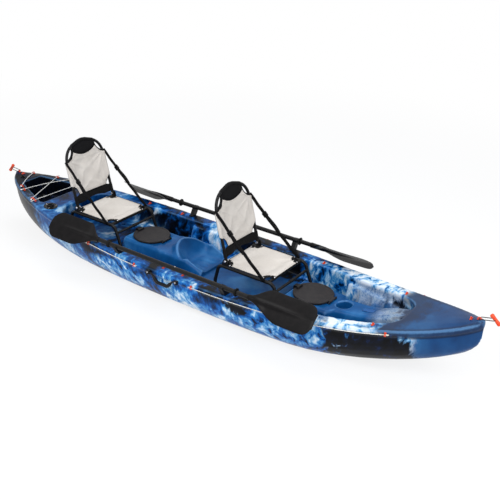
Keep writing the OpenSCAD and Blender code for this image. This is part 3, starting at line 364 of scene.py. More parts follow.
pale = ramp(plus(times(speckle, 0.5), times(fine, 0.5)), [
    (0.36, tone(34, 76, 136)), (0.46, tone(112, 140, 172)), (0.58, tone(160, 174, 190)),
    (0.68, tone(188, 198, 208))])
plain = ramp(broad, [(0.3, tone(6, 54, 100)), (0.5, tone(16, 78, 134)), (0.7, tone(52, 114, 168))])
bow_blue = ramp(broad, [(0.3, tone(12, 46, 86)), (0.5, tone(18, 60, 106)), (0.7, tone(34, 80, 126))])
print("marbling mixed")

# %% [markdown]
# Masks along the hull then set the mood of each stretch: near black at the stern, then deep blue, a
# mottled middle with white runs and dark patches, white deck edges, pale foot steps, and a plain
# steel blue bow. The consoles and the middle seat are a plain blue. Each mask is a product of
# stretches, and the numbers are metres along the hull, below the sheer or in from the gunwale.

# %% Stretches of the hull
SIDE_PATCHES = (
    (starboard, (0.51, 0.225), (0.085, 0.06), night),
    (starboard, (1.41, 0.18), (0.37, 0.17), night),
    (starboard, (-0.62, 0.16), (0.09, 0.04), night),
    (starboard, (0.72, 0.12), (0.26, 0.07), cloudy),
    (starboard, (-0.46, 0.14), (0.24, 0.08), cloudy),
    (starboard, (1.0, 0.2), (0.08, 0.1), cloudy),
    (port, (0.1, 0.2), (0.14, 0.08), night),
    (port, (-0.7, 0.2), (0.18, 0.09), night),
    (port, (1.4, 0.19), (0.24, 0.12), night),
)


def ragged_oval(centre, size):
    """1 inside a ragged oval on the side of the hull, seen square on."""
    u = over(less(along, centre[0]), size[0])
    v = over(less(height, centre[1]), size[1])
    return step(plus(plus(times(u, u), times(v, v)), rough_edge), 1.3, 0.7)


wavy_along = plus(along, times(ragged, 0.35))
colour = paint(step(wavy_along, -0.74, -0.98), marble, deep)
colour = paint(step(wavy_along, -1.24, -1.46), colour, night)

console = masked(step(aside, 0.2, 0.185), step(height, 0.108, 0.125),
                 stretch(along, -0.66, -0.62, 1.20, 1.34))
colour = paint(console, colour, plain)
inner_wall = masked(step(inset, 0.02, 0.05), step(height, 0.11, 0.14), less(1.0, console))
fore_wall = masked(inner_wall, stretch(wavy_along, 0.6, 0.72, 1.0, 1.1))
colour = paint(times(fore_wall, 0.8), colour, cloudy)
foot_steps = masked(inner_wall, stretch(wavy_along, 0.92, 1.02, 1.38, 1.44))
colour = paint(times(foot_steps, 0.85), colour, pale)

outer_side = masked(step(below, 0.012, 0.03), step(inset, 0.14, 0.10))
for side_share, centre, size, tint in SIDE_PATCHES:
    colour = paint(masked(side_share, outer_side, ragged_oval(centre, size)), colour, tint)
# painted shadow: a near-black line along the bottom edge of the middle of the hull
keel_shadow = masked(step(height, 0.03, 0.015), stretch(along, -0.5, -0.3, 0.5, 0.8))
colour = paint(keel_shadow, colour, night)
deck_edge = masked(step(below, 0.03, 0.012), step(inset, 0.115, 0.09),
                  stretch(wavy_along, 0.78, 0.95, 1.42, 1.52), step(broad, 0.36, 0.46))
colour = paint(deck_edge, colour, white)
print(len(SIDE_PATCHES), "patches on the sides")

# %% [markdown]
# The bow is a plainer blue with a smoky deck, painted shade in the groove under its rim, and a dark
# rim whose darkening also paints shade on the side of the lip. Edges that stand proud are lightened,
# as wear and powder and as a painted highlight, by a crest value that is stored on the mesh later.
# The skin of a moulded hull is never quite even, which a fine noise in gloss and bump shows.

# %% Bow, painted shade, worn and highlighted edges, and gloss
bow_start = plus(1.585, times(step(below, 0.05, 0.0), -0.22))
bow = step(less(plus(along, times(ragged, 0.1)), bow_start), -0.03, 0.03)
colour = paint(bow, colour, bow_blue)
smoke = masked(step(below, 0.06, 0.03), stretch(wavy_along, 1.32, 1.4, 1.46, 1.62))
colour = paint(times(smoke, 0.6), colour, tone(34, 38, 50))
# painted shade: a dark navy band in the groove under the bow's rim
groove_shade = masked(stretch(below, 0.030, 0.036, 0.050, 0.060), step(along, 1.35, 1.55))
colour = paint(times(groove_shade, 0.7), colour, tone(9, 22, 44))
# the bow gunwale's dark brownish edge, with painted shade on the side of the lip below it
dark_rim_and_shade = masked(step(inset, 0.045, 0.02), step(below, 0.036, 0.03), step(along, 1.3, 1.5))
colour = paint(times(dark_rim_and_shade, 0.5), colour, tone(30, 28, 34))

# wear and painted highlight: edges that stand proud are lightened to pale blue by their crest value
crest = add(hull_finish, "Attribute")
crest.attribute_name = "crest"
wear_and_highlight = times(step(crest.outputs["Fac"], 0.3, 0.9), 0.35)
colour = paint(wear_and_highlight, colour, tone(104, 154, 204))
wire(hull_finish, colour, shader_input(hull_finish, "Base Color"))
peel = grain_of(place, 160.0, 2.0)
wire(hull_finish, plus(times(peel, 0.16), 0.24), shader_input(hull_finish, "Roughness"))
bump(hull_finish, peel, 0.12, 0.0006)
print("hull finish has", len(hull_finish.node_tree.nodes), "nodes")

# %% [markdown]
# Every new piece is drawn in a bmesh or along a curve, becomes an object at the origin, and gets its
# finish. Modifiers are made part of the mesh at once, so that later steps find plain meshes.

# %% Helpers for pieces
def ease(low, high, value):
    """0 at low, 1 at high, and smooth between them; low may be the larger one."""
    share = min(1.0, max(0.0, (value - low) / (high - low)))
    return share * share * (3 - 2 * share)


def shade(mesh, smooth=True):
    mesh.polygons.foreach_set("use_smooth", [smooth] * len(mesh.polygons))


def dress(piece, finish, smooth=True):
    piece.data.materials.clear()
    piece.data.materials.append(finish)
    shade(piece.data, smooth)
    return piece


def make_piece(name, shape, finish, smooth=True):
    mesh = bpy.data.meshes.new(name)
    shape.normal_update()
    shape.to_mesh(mesh)
    shape.free()
    return dress(in_scene(name, mesh), finish, smooth)


def as_mesh(piece):
    graph = bpy.context.evaluated_depsgraph_get()
    return bpy.data.meshes.new_from_object(piece.evaluated_get(graph), depsgraph=graph)


def settle(piece):
    """Makes the modifiers of a piece part of its mesh, with smooth shading."""
    mesh = as_mesh(piece)
    piece.modifiers.clear()
    piece.data = mesh
    shade(mesh)


def solidify(piece, thickness, offset):
    wall = piece.modifiers.new("wall", "SOLIDIFY")
    wall.thickness = thickness
    wall.offset = offset
    return wall


def slice_at(shape, point, normal):
    """Cuts every face along a plane."""
    bmesh.ops.bisect_plane(shape, geom=shape.verts[:] + shape.edges[:] + shape.faces[:],
                           plane_co=point, plane_no=normal, dist=1e-6)


def round_off(shape, edges, radius, segments):
    bmesh.ops.bevel(shape, geom=edges, offset=radius, offset_type="OFFSET", affect="EDGES",
                    segments=segments, profile=0.5, material=-1)


def round_line(name, points, radius, resolution, closed=False, swell=None):
    """A curve with a round section; swell scales its radius at each point."""
    path = bpy.data.curves.new(name, "CURVE")
    path.dimensions = "3D"
    path.bevel_depth = radius
    path.bevel_resolution = resolution
    path.use_fill_caps = True
    line = path.splines.new("POLY")
    line.points.add(len(points) - 1)
    for target, point in zip(line.points, points):
        target.co = (*point, 1)
    if swell:
        line.points.foreach_set("radius", swell)
    line.use_cyclic_u = closed
    return path


def tube_piece(name, points, radius, finish, slot, **line):
    """A round bead along points, made as a curve and turned into a mesh."""
    holder = in_scene(name, round_line(name, points, radius, 2, **line))
    mesh = as_mesh(holder)
    bpy.data.objects.remove(holder)
    return dress(in_scene(name, mesh), finish)


print("piece helpers ready")

# %% [markdown]
# The moulded shell itself is soft everywhere: no edge is sharper than a few millimetres. The CAD
# shell has crisp edges, so a copy of it is remeshed and smoothed. The hatch, rod holder and deck
# openings are plugged first, because the remesher then keeps only the outer skin.

# %% Plugged hull
FRONT_HATCH, REAR_HATCH = 0.821, -0.488
CONSOLE_TOP = 0.246
ROD_PLACE = Vector((-1.262, 0.214, 0.3251))
ROD_TILT = math.radians(-11.4)
DECK_HOLE = Vector((-1.765, -0.034, 0.366))
HATCH_PLUG, ROD_PLUG, DECK_PLUG = (0.108, 0.011, 48), (0.031, 0.012, 32), (0.015, 0.012, 24)
HATCH_SINK, ROD_SINK = 0.006, 0.007
VOXEL = 0.006


def rod_frame(side):
    return (Matrix.Translation((ROD_PLACE.x, side * ROD_PLACE.y, ROD_PLACE.z))
            @ Matrix.Rotation(ROD_TILT, 4, "Y"))


def plug(shape, radius, depth, segments, place):
    bmesh.ops.create_cone(shape, cap_ends=True, segments=segments, radius1=radius, radius2=radius,
                          depth=depth, matrix=place)


def even_grid(piece):
    remesh = piece.modifiers.new("remesh", "REMESH")
    remesh.mode = "VOXEL"
    remesh.voxel_size = VOXEL
    remesh.use_smooth_shade = True


hull_shape = bmesh.new()
hull_shape.from_mesh(nodes["hull_shell"].data)
bmesh.ops.remove_doubles(hull_shape, verts=hull_shape.verts, dist=1e-6)
for x in (FRONT_HATCH, REAR_HATCH):
    plug(hull_shape, *HATCH_PLUG, Matrix.Translation((x, 0, CONSOLE_TOP - HATCH_SINK)))
for side in (-1, 1):
    plug(hull_shape, *ROD_PLUG, rod_frame(side) @ Matrix.Translation((0, 0, -ROD_SINK)))
plug(hull_shape, *DECK_PLUG, Matrix.Translation(DECK_HOLE))
hull = make_piece("hull_skin", hull_shape, hull_finish)
even_grid(hull)
settle(hull)
print("hull remeshed to", len(hull.data.polygons), "faces")

# %% [markdown]
# The middle seat's back is flat in CAD and a rounded bucket on the real hull. The points there are
# raised or lowered to a formula: a rim that sweeps forward and falls towards the sides, a rounded
# slope behind it and a hollow in front. A second remesh evens out the grid, and the smoothing then
# softens every edge of the hull.

# %% Middle seat and soft edges
SCOOP_HALF, SCOOP_REACH = 0.145, 0.11
RIM_X, RIM_Z, RIM_SWEEP, RIM_FALL = -0.222, 0.308, 0.085, 0.060
RIM_TOP, RIM_BACK = 0.010, 0.030
SEAT_Z, SEAT_SIDES, CONSOLE_LEVEL = 0.187, 0.06, 0.248
FADE_AFT, FADE_FORE, FADE_OUT = (-0.35, -0.31), (-0.065, -0.115), (0.144, 0.126)
SKIN_TRIANGLES = 92000


def scoop_height(x, y):
    """The height of the bucket: console, rounded rim and hollow back, from aft to fore."""
    share = min(1.0, abs(y) / SCOOP_HALF)
    rim_x = RIM_X + RIM_SWEEP * share ** 2
    rim_z = RIM_Z - RIM_FALL * share ** 2.4
    seat_z = SEAT_Z + SEAT_SIDES * share ** 4
    if x < rim_x:
        return CONSOLE_LEVEL + (rim_z - CONSOLE_LEVEL) * math.exp(-((x - rim_x) / RIM_BACK) ** 2)
    fall = min(1.0, max(0.0, x - rim_x - RIM_TOP) / SCOOP_REACH)
    return seat_z + (rim_z - seat_z) * (1 - fall) ** 2


for vert in hull.data.vertices:
    x, y, z = vert.co
    if z > SEAT_Z - 0.02 and FADE_AFT[0] < x < FADE_FORE[0] and abs(y) < SCOOP_HALF + 0.02:
        change = scoop_height(x, y) - z
        share = ease(*FADE_AFT, x) * ease(*FADE_FORE, x)
        if change > 0:
            share *= ease(*FADE_OUT, abs(y))
        vert.co.z = z + share * change
even_grid(hull)
soften = hull.modifiers.new("soften", "SMOOTH")
soften.factor = 0.5
soften.iterations = 5
settle(hull)
full_count = len(hull.data.polygons)
thin = hull.modifiers.new("thin", "DECIMATE")
thin.ratio = min(1.0, SKIN_TRIANGLES / (2 * full_count))
settle(hull)
print(full_count, "faces thinned to", len(hull.data.polygons))

# %% [markdown]
# The hatch and rod holder openings are cut again in the skin. The angle between the faces at each
# point tells how far it stands proud, and is kept as the crest value that the finish reads. Solidify
# then gives the skin its wall, so an open hatch shows a hollow hull.

# %% Openings and wall
HATCH_CUT, ROD_CUT = 0.112, 0.033
HATCH_LOW, HATCH_HIGH, ROD_DEPTH = 0.22, 0.256, 0.03
WALL = 0.0045
CREST_ANGLE = 0.22

skin = bmesh.new()
skin.from_mesh(hull.data)
cut = []
for face in skin.faces:
    middle = face.calc_center_median()
    in_hatch = any(math.hypot(middle.x - x, middle.y) < HATCH_CUT for x in (FRONT_HATCH, REAR_HATCH))
    if in_hatch and HATCH_LOW < middle.z < HATCH_HIGH:
        cut.append(face)
        continue
    for side in (-1, 1):
        local = rod_frame(side).inverted() @ middle
        if math.hypot(local.x, local.y) < ROD_CUT and abs(local.z) < ROD_DEPTH:
            cut.append(face)
            break
bmesh.ops.delete(skin, geom=cut, context="FACES")
crest_layer = skin.verts.layers.float.new("crest")
crests = {vert: sum(edge.calc_face_angle_signed(0) for edge in vert.link_edges) / len(vert.link_edges)
          for vert in skin.verts if vert.link_edges}
for _ in range(2):
    crests = {vert: (value + sum(crests[edge.other_vert(vert)] for edge in vert.link_edges))
              / (1 + len(vert.link_edges)) for vert, value in crests.items()}
for vert, value in crests.items():
    vert[crest_layer] = max(0.0, value / CREST_ANGLE)
skin.to_mesh(hull.data)
skin.free()
solidify(hull, WALL, -1)
settle(hull)
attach(hull, "hull")
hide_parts("hull_shell")
print("hull skin has", len(hull.data.polygons), "faces with its wall")

# %% [markdown]
# The small hard pieces keep their CAD shapes and get finishes with a fine grain. Moulded plastic
# has a satin skin with a faint texture, powder coat is a little rougher, rubber is dull, and steel
# is brushed. One helper adds the grain, so that each finish is one row of a table.

# %% Plain finishes
def grained(name, colour, other, roughness, scale, depth, **sockets):
    """A finish whose colour and gloss drift between two tones, with a bump of that depth."""
    finish = start_finish(name, colour, roughness, **sockets)
    place = object_place(finish)
    drift = noise_of(finish, place, scale / 9, 3.0)
    grain = noise_of(finish, place, scale, 3.0)
    wire(finish, mixed(finish, span(finish, drift, 0.35, 0.65), colour, other),
         shader_input(finish, "Base Color"))
    wire(finish, calc(finish, "ADD", calc(finish, "MULTIPLY", grain, 0.24), roughness - 0.12),
         shader_input(finish, "Roughness"))
    bump(finish, grain, 0.3, depth)
    return finish


# slot: name, two tones, roughness, scale of the grain, depth of the bump, specular level
GRAINS = {
    "black_plastic": ("black_plastic", (13, 13, 14), (20, 20, 21), 0.42, 420, 0.0003, 0.16),
    "lid_plastic": ("lid_plastic", (30, 28, 30), (37, 34, 35), 0.5, 300, 0.0004, 0.16),
    "gasket_rubber": ("gasket_rubber", (20, 20, 20), (27, 27, 27), 0.7, 250, 0.0002, 0.1),
    "foot_rubber": ("foot_rubber", (22, 22, 23), (32, 31, 30), 0.75, 200, 0.0003, 0.1),
    "orange_plastic": ("orange_plastic", (204, 62, 30), (216, 80, 44), 0.4, 380, 0.0002, 0.25),
    "black_frame": ("powder_coat", (11, 11, 12), (17, 17, 18), 0.4, 520, 0.0002, 0.16),
    "shaft_metal": ("shaft_finish", (12, 12, 12), (20, 19, 19), 0.35, 300, 0.0001, 0.18),
    "blade_plastic": ("blade_plastic", (11, 10, 11), (17, 15, 16), 0.34, 260, 0.0003, 0.1),
}
FINISHES = {slot: grained(name, tone(*first), tone(*second), *grain, Specular_IOR_Level=specular)
            for slot, (name, first, second, *grain, specular) in GRAINS.items()}
FINISHES["steel"] = grained("brushed_steel", tone(190, 190, 194), tone(214, 214, 218), 0.32, 700, 0.0001,
                            Metallic=1.0)
black_plastic, steel = FINISHES["black_plastic"], FINISHES["steel"]
slot_of = {part["node"]: part["material_slot"] for part in frame["record"]["subparts"]}
painted = 0
for node, slot in slot_of.items():
    if slot in FINISHES:
        mesh = nodes[node].data
        mesh.materials.clear()
        mesh.materials.append(FINISHES[slot])
        painted += 1
print(painted, "CAD nodes painted")

# %% [markdown]
# The seats are slings: cloth stretched in bent tubes. Their cloth is a soft open mesh with a
# two-way weave, so the pattern follows the flat cut through a UV map in metres. Black cloth and
# webbing share the recipe with other colours and pitches. Binding and thread have a plain grain.

# %% Cloth finishes
def woven(name, light, dark, pitch, depth, roughness=0.85):
    finish = start_finish(name, light, roughness, Specular_IOR_Level=0.12)
    flat = add(finish, "UVMap").outputs["UV"]
    threads = []
    for direction in ("X", "Y"):
        wave = add(finish, "TexWave", Vector=flat, Scale=math.pi / pitch / 10, Distortion=0.0)
        wave.bands_direction = direction
        threads.append(wave.outputs["Fac"])
    weave = calc(finish, "MULTIPLY", *threads)
    place = object_place(finish)
    cloud = noise_of(finish, place, 7.0, 4.0)
    fleck = noise_of(finish, place, 240.0, 2.0)
    tint = calc(finish, "MULTIPLY", weave, 0.5)
    for pattern, share in ((cloud, 0.5), (fleck, 0.3)):
        tint = calc(finish, "ADD", tint, calc(finish, "MULTIPLY", pattern, share))
    wire(finish, mixed(finish, span(finish, tint, 0.2, 0.9), dark, light), shader_input(finish, "Base Color"))
    bump(finish, weave, 0.4, depth)
    return finish


mesh_cloth = woven("beige_mesh", tone(217, 211, 204), tone(188, 181, 173), 0.0022, 0.0006)
black_cloth = woven("black_cloth", tone(17, 17, 19), tone(8, 8, 9), 0.0020, 0.0005)
webbing = woven("black_webbing", tone(16, 16, 17), tone(7, 7, 8), 0.0016, 0.0005, 0.8)
binding = grained("binding_tape", tone(12, 12, 13), tone(18, 18, 19), 0.8, 900, 0.0003,
                  Specular_IOR_Level=0.12)
thread = grained("grey_thread", tone(150, 144, 137), tone(170, 164, 156), 0.8, 900, 0.0002)
print("cloth finishes ready")

# %% [markdown]
# A cut of cloth starts as one flat face with the outline of the cut. Slicing it with planes gives
# an even grid that keeps the outline exactly, and each point of the grid is then moved to where
# the cloth hangs. The flat place of each point is kept as its UV, in metres.

# %% Cloth helpers
def arc(centre, radius, start, end, count):
    steps = [math.radians(start + (end - start) * k / count) for k in range(count + 1)]
    return [(centre[0] + radius * math.cos(a), centre[1] + radius * math.sin(a)) for a in steps]


def oblong(low, high):
    return [low, (high[0], low[1]), high, (low[0], high[1])]


def cut_cloth(name, outline, pitch, hang, finish):
    """A piece with a grid in the outline, and each flat point (u, v) moved to hang(u, v)."""
    shape = bmesh.new()
    shape.faces.new([shape.verts.new((u, v, 0)) for u, v in outline])
    for axis, normal in enumerate((Vector((1, 0, 0)), Vector((0, 1, 0)))):
        low = min(point[axis] for point in outline)
        high = max(point[axis] for point in outline)
        count = max(2, round((high - low) / pitch))
        for k in range(1, count):
            slice_at(shape, normal * (low + (high - low) * k / count), normal)
    flat = shape.loops.layers.uv.new("flat")
    for face in shape.faces:
        for corner in face.loops:
            corner[flat].uv = corner.vert.co.xy
    for vert in shape.verts:
        vert.co = hang(vert.co.x, vert.co.y)
    return make_piece(name, shape, finish)


def flat_area(outline):
    pairs = zip(outline, outline[1:] + outline[:1])
    return abs(sum(a[0] * b[1] - b[0] * a[1] for a, b in pairs)) / 2


def flat_size(outline):
    return tuple(max(p[k] for p in outline) - min(p[k] for p in outline) for k in (0, 1))


def thicken(piece, thickness):
    solidify(piece, thickness, 0)
    settle(piece)


print("cloth helpers ready")

# %% [markdown]
# Three small things make cloth look sewn: folds that run out from where it is pulled, a round
# binding along every cut edge, and a row of stitches beside that edge.

# %% Folds, bindings and stitches
STITCH_PITCH, STITCH_LENGTH, STITCH_HALF, STITCH_LIFT = 0.0062, 0.0042, 0.00045, 0.0018
SEAM = 0.011
bound = partial(tube_piece, finish=binding, slot="black_cloth")


def pull_folds(u, v, corners, depth, spread):
    """Small folds that run out from the points where a cloth is pulled."""
    total = 0.0
    for corner_u, corner_v in corners:
        du, dv = u - corner_u, v - corner_v
        ridge = abs(math.cos(5.5 * math.atan2(abs(dv), abs(du)) + 0.5)) ** 7
        total += math.exp(-math.hypot(du, dv) / spread) * ridge
    return depth * total


def inset_line(outline, amount):
    """The outline moved inwards, for a sewn row beside an edge."""
    ends = list(zip(outline, outline[1:] + outline[:1]))
    way = math.copysign(1, sum(a[0] * b[1] - b[0] * a[1] for a, b in ends))
    line = []
    for before, here, after in zip(outline[-1:] + outline[:-1], outline, outline[1:] + outline[:1]):
        across = Vector((before[1] - after[1], after[0] - before[0]))
        if across.length > 1e-9:
            across *= way * amount / across.length
            line.append((here[0] + across.x, here[1] + across.y))
    return line


def stitch_row(name, line, place_of, lift):
    """A closed row of short stitches along a flat line, as one piece."""
    shape = bmesh.new()
    for (au, av), (bu, bv) in zip(line, line[1:] + line[:1]):
        count = round(math.hypot(bu - au, bv - av) / STITCH_PITCH)
        for k in range(count):
            ends = []
            for share in (k / count, (k + STITCH_LENGTH / STITCH_PITCH) / count):
                ends.append(place_of(au + (bu - au) * share, av + (bv - av) * share) + lift)
            run = ends[1] - ends[0]
            turn = run.to_track_quat("X", "Z").to_matrix().to_4x4()
            size = Matrix.Diagonal((run.length, 2 * STITCH_HALF, 2 * STITCH_HALF, 1))
            bmesh.ops.create_cube(shape, size=1,
                                  matrix=Matrix.Translation((ends[0] + ends[1]) / 2) @ turn @ size)
    return make_piece(name, shape, thread, smooth=False)


print("sewing helpers ready")

# %% [markdown]
# The seat pan is one cut with hollow corners. It is pulled tight between the front and rear tubes
# and sags a little in the middle, and faint folds run in from the four corners where the
# gussets pull. A bound black edge finishes it.

# %% Seat pans
SEATS = {"front": 0.606, "rear": 0.606 - 1.302}
RAIL_Y, RAIL_Z = 0.186, 0.335
PAN_AFT, PAN_FORE, PAN_HALF = -0.347, 0.012, RAIL_Y - 0.005
PAN_Z = RAIL_Z + 0.0113
CORNER_CUT = 0.058
PAN_LIFT, PAN_SAG, PAN_FOLDS = 0.0022, 0.016, (0.0062, 0.17)
PAN_THICK, PAN_BINDING = 0.003, 0.0028
CLOTH_GRID = 0.006
pan_outline = []
for x, y, start in ((PAN_AFT, -PAN_HALF, 90), (PAN_FORE, -PAN_HALF, 180),
                    (PAN_FORE, PAN_HALF, 270), (PAN_AFT, PAN_HALF, 0)):
    pan_outline += arc((x, y), CORNER_CUT, start, start - 90, 10)
PAN_CORNERS = [(x, y) for x in (PAN_AFT, PAN_FORE) for y in (-PAN_HALF, PAN_HALF)]


def pan_place(x0, u, v):
    end = min(u - PAN_AFT, PAN_FORE - u)
    inner = ease(0, 0.04, end) * ease(0, 0.04, PAN_HALF - abs(v))
    sag = PAN_SAG * ease(0, CORNER_CUT, end - 0.03) * (1 - (v / PAN_HALF) ** 2)
    fold = pull_folds(u, v, PAN_CORNERS, *PAN_FOLDS) * inner
    return Vector((x0 + u, v, PAN_Z + PAN_LIFT - sag + fold))


for seat, x0 in SEATS.items():
    hang = partial(pan_place, x0)
    cloth = cut_cloth(f"{seat}_pan_cloth", pan_outline, CLOTH_GRID, hang, mesh_cloth)
    thicken(cloth, PAN_THICK)
    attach(cloth, "hull")
    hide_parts(f"{seat}_seat_pan")
    edge = bound(f"{seat}_pan_binding", [hang(u, v) for u, v in pan_outline], PAN_BINDING, closed=True)
    row = stitch_row(f"{seat}_pan_stitches", inset_line(pan_outline, SEAM), hang,
                     Vector((0, 0, STITCH_LIFT)))
    for piece in (edge, row):
        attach(piece, "hull")
    flat_area(pan_outline)
print("pan cut", flat_size(pan_outline), "area", round(flat_area(pan_outline), 4))

# %% [markdown]
# The backrest is drawn flat in the plane of its tube, and a point (y, z) of the flat cut is placed by
# leaning that plane about the pivot. A pad is a flat cut whose thickness falls towards its outline,
# so each of its points needs to know how far away the outline is.

# %% Backrest helpers
BACK_LEAN = math.radians(15)
PIVOT_X, PIVOT_Z = -0.325, 0.372
BACK_Y, PANEL_HALF = 0.1729, 0.1626
BACK_UP = Vector((-math.sin(BACK_LEAN), 0, math.cos(BACK_LEAN)))
BACK_AHEAD = Vector((math.cos(BACK_LEAN), 0, math.sin(BACK_LEAN)))


def on_back(x0, y, z, ahead=0.0):
    return Vector((x0 + PIVOT_X, y, PIVOT_Z)) + BACK_UP * z + BACK_AHEAD * ahead


def arc_between(centre, first, last, count, turn):
    """An arc about a centre from one point to another; turn is 1 anticlockwise and -1 clockwise."""
    radius = math.hypot(first[0] - centre[0], first[1] - centre[1])
    start = math.degrees(math.atan2(first[1] - centre[1], first[0] - centre[0]))
    sweep = math.degrees(math.atan2(last[1] - centre[1], last[0] - centre[0])) - start
    if sweep * turn < 0:
        sweep += 360 * turn
    return arc(centre, radius, start, start + sweep, count)


def mirrored(half):
    """A closed outline from its right half, listed from the bottom to the top."""
    return half + [(-y, z) for y, z in reversed(half)]


def edge_distance(outline, u, v):
    """How far a flat point lies from the outline."""
    nearest = 1.0
    for (au, av), (bu, bv) in zip(outline, outline[1:] + outline[:1]):
        du, dv = bu - au, bv - av
        share = ((u - au) * du + (v - av) * dv) / max(1e-12, du * du + dv * dv)
        share = min(1.0, max(0.0, share))
        nearest = min(nearest, math.hypot(u - au - share * du, v - av - share * dv))
    return nearest


def fill_out(piece, outline, thickness, thin_share, rim):
    """Gives a flat pad its thickness: full inside the rim and thin along the outline."""
    flat = piece.data.uv_layers["flat"].data
    group = piece.vertex_groups.new(name="fill")
    for corner in piece.data.loops:
        u, v = flat[corner.index].uv
        group.add([corner.vertex_index], ease(0, rim, edge_distance(outline, u, v)), "REPLACE")
    pad = solidify(piece, thickness, 0)
    pad.vertex_group = "fill"
    pad.thickness_vertex_group = thin_share
    settle(piece)
    piece.vertex_groups.clear()


print("backrest leans", round(math.degrees(BACK_LEAN)), "degrees")

# %% [markdown]
# The outline of the backrest is made of arcs: a wide arc under the head panel, two round hand holes
# at the shoulders, and two shallow arcs that cut in above the lower band. Its sides reach past the
# tubes, because they wrap round them. Each outline is listed for one half and mirrored.

# %% Backrest outlines
HAND_CENTRE, HEAD_CENTRE = (0.1846, 0.406), (0, 0.523)
WRAP, WRAP_RUN = 0.0121, 0.030
LOW_ARC_CENTRE = (0.2748, 0.0308)
LOW_CORNER, LOW_SIDE = (0.128, 0.0815), (BACK_Y, 0.148)
HIGH_SIDE, SHOULDER = (0.1603, 0.3256), (0.1041, 0.382)
panel_outline = mirrored([LOW_CORNER] + arc_between(LOW_ARC_CENTRE, LOW_CORNER, LOW_SIDE, 10, -1)[1:]
                         + [(BACK_Y + WRAP_RUN, 0.158), (BACK_Y + WRAP_RUN, 0.308), (BACK_Y, 0.3205)]
                         + arc_between(HAND_CENTRE, HIGH_SIDE, SHOULDER, 10, -1)
                         + arc_between(HEAD_CENTRE, SHOULDER, (0, 0.3477), 10, -1)[1:-1])
HEAD_LOW = (0.1030, 0.3835)
head_roof = [(0.1000, 0.4222), (0.0887, 0.4263), (0.0600, 0.4353), (0.0300, 0.4445), (0, 0.4483)]
head_outline = mirrored([(0, 0.348)] + arc_between(HEAD_CENTRE, (0, 0.348), HEAD_LOW, 10, 1)[1:]
                        + [(y, z - 0.002) for y, z in head_roof])
BAND_LOW, BAND_TOP = 0.022, 0.0812
band_outline = mirrored([(0, 0.038)] + arc_between((0, -0.276), (0, 0.038), (0.0927, BAND_LOW), 8, -1)[1:]
                        + [(PANEL_HALF, BAND_LOW), (PANEL_HALF, 0.070), (0.132, BAND_TOP)])
for name, outline in (("panel", panel_outline), ("head", head_outline), ("band", band_outline)):
    print(name, "cut", [round(side, 3) for side in flat_size(outline)], "area", round(flat_area(outline), 4))

# %% [markdown]
# Each backrest carries three sewn pieces. The beige panel is thin mesh, the black head panel is a
# padded piece that is sewn round the top tube in a sleeve, and the lower band is a doubled strip that
# wraps the tubes in two short sleeves. The mesh gives a little between the tubes, so it bows backwards
# and carries soft folds from the corners that pull it. Round binding closes every cut edge, and a
# thick bound loop runs round each hand hole from the tube to the head panel.

# %% Backrests
BACK_CORNERS = [(side * y, z) for side in (-1, 1) for y, z in (LOW_CORNER, HIGH_SIDE)]
BACK_FOLDS, BACK_RIPPLE, BACK_BOW = (0.0058, 0.15), 0.0012, 0.019
PANEL_THICK, BACK_BINDING = 0.0032, 0.0027
# thickness of a pad, the share of it that is left at the rim, and the width of the rim
HEAD_PAD, BAND_PAD = (0.017, 0.3, 0.016), (0.009, 0.4, 0.010)
BAND_GRID = 0.008
LOOP_R, BAND_SLEEVE_R, HEAD_SLEEVE_R = 0.0088, 0.0116, 0.0122
LOOP_START, LOOP_END = (0.1650, 0.3270), (0.1030, 0.4060)


def panel_place(x0, y, z):
    inner, over = min(abs(y), BACK_Y), max(0.0, abs(y) - BACK_Y) / WRAP
    middle = 1 - (inner / BACK_Y) ** 2
    sewn = 0.004 - 0.006 * middle
    tight = WRAP * math.cos(over) - BACK_BOW * middle * (1 - 0.5 * ease(0.28, 0.36, z))
    fold = pull_folds(y, z, BACK_CORNERS, *BACK_FOLDS) + BACK_RIPPLE * math.sin(48 * (z - 0.9 * y) + 1.2)
    ahead = sewn + (tight - sewn) * ease(LOW_CORNER[1], 0.15, z)
    ahead += fold * min(1.0, 3 * middle) * ease(LOW_CORNER[1], 0.12, z)
    return on_back(x0, math.copysign(inner + WRAP * math.sin(over), y), z, ahead)


def head_place(x0, y, z):
    return on_back(x0, y, z, 0.002 - 0.004 * (1 - (y / 0.11) ** 2))


def band_place(x0, y, z):
    return on_back(x0, y, z, 0.0015 - 0.006 * (1 - (y / PANEL_HALF) ** 2))


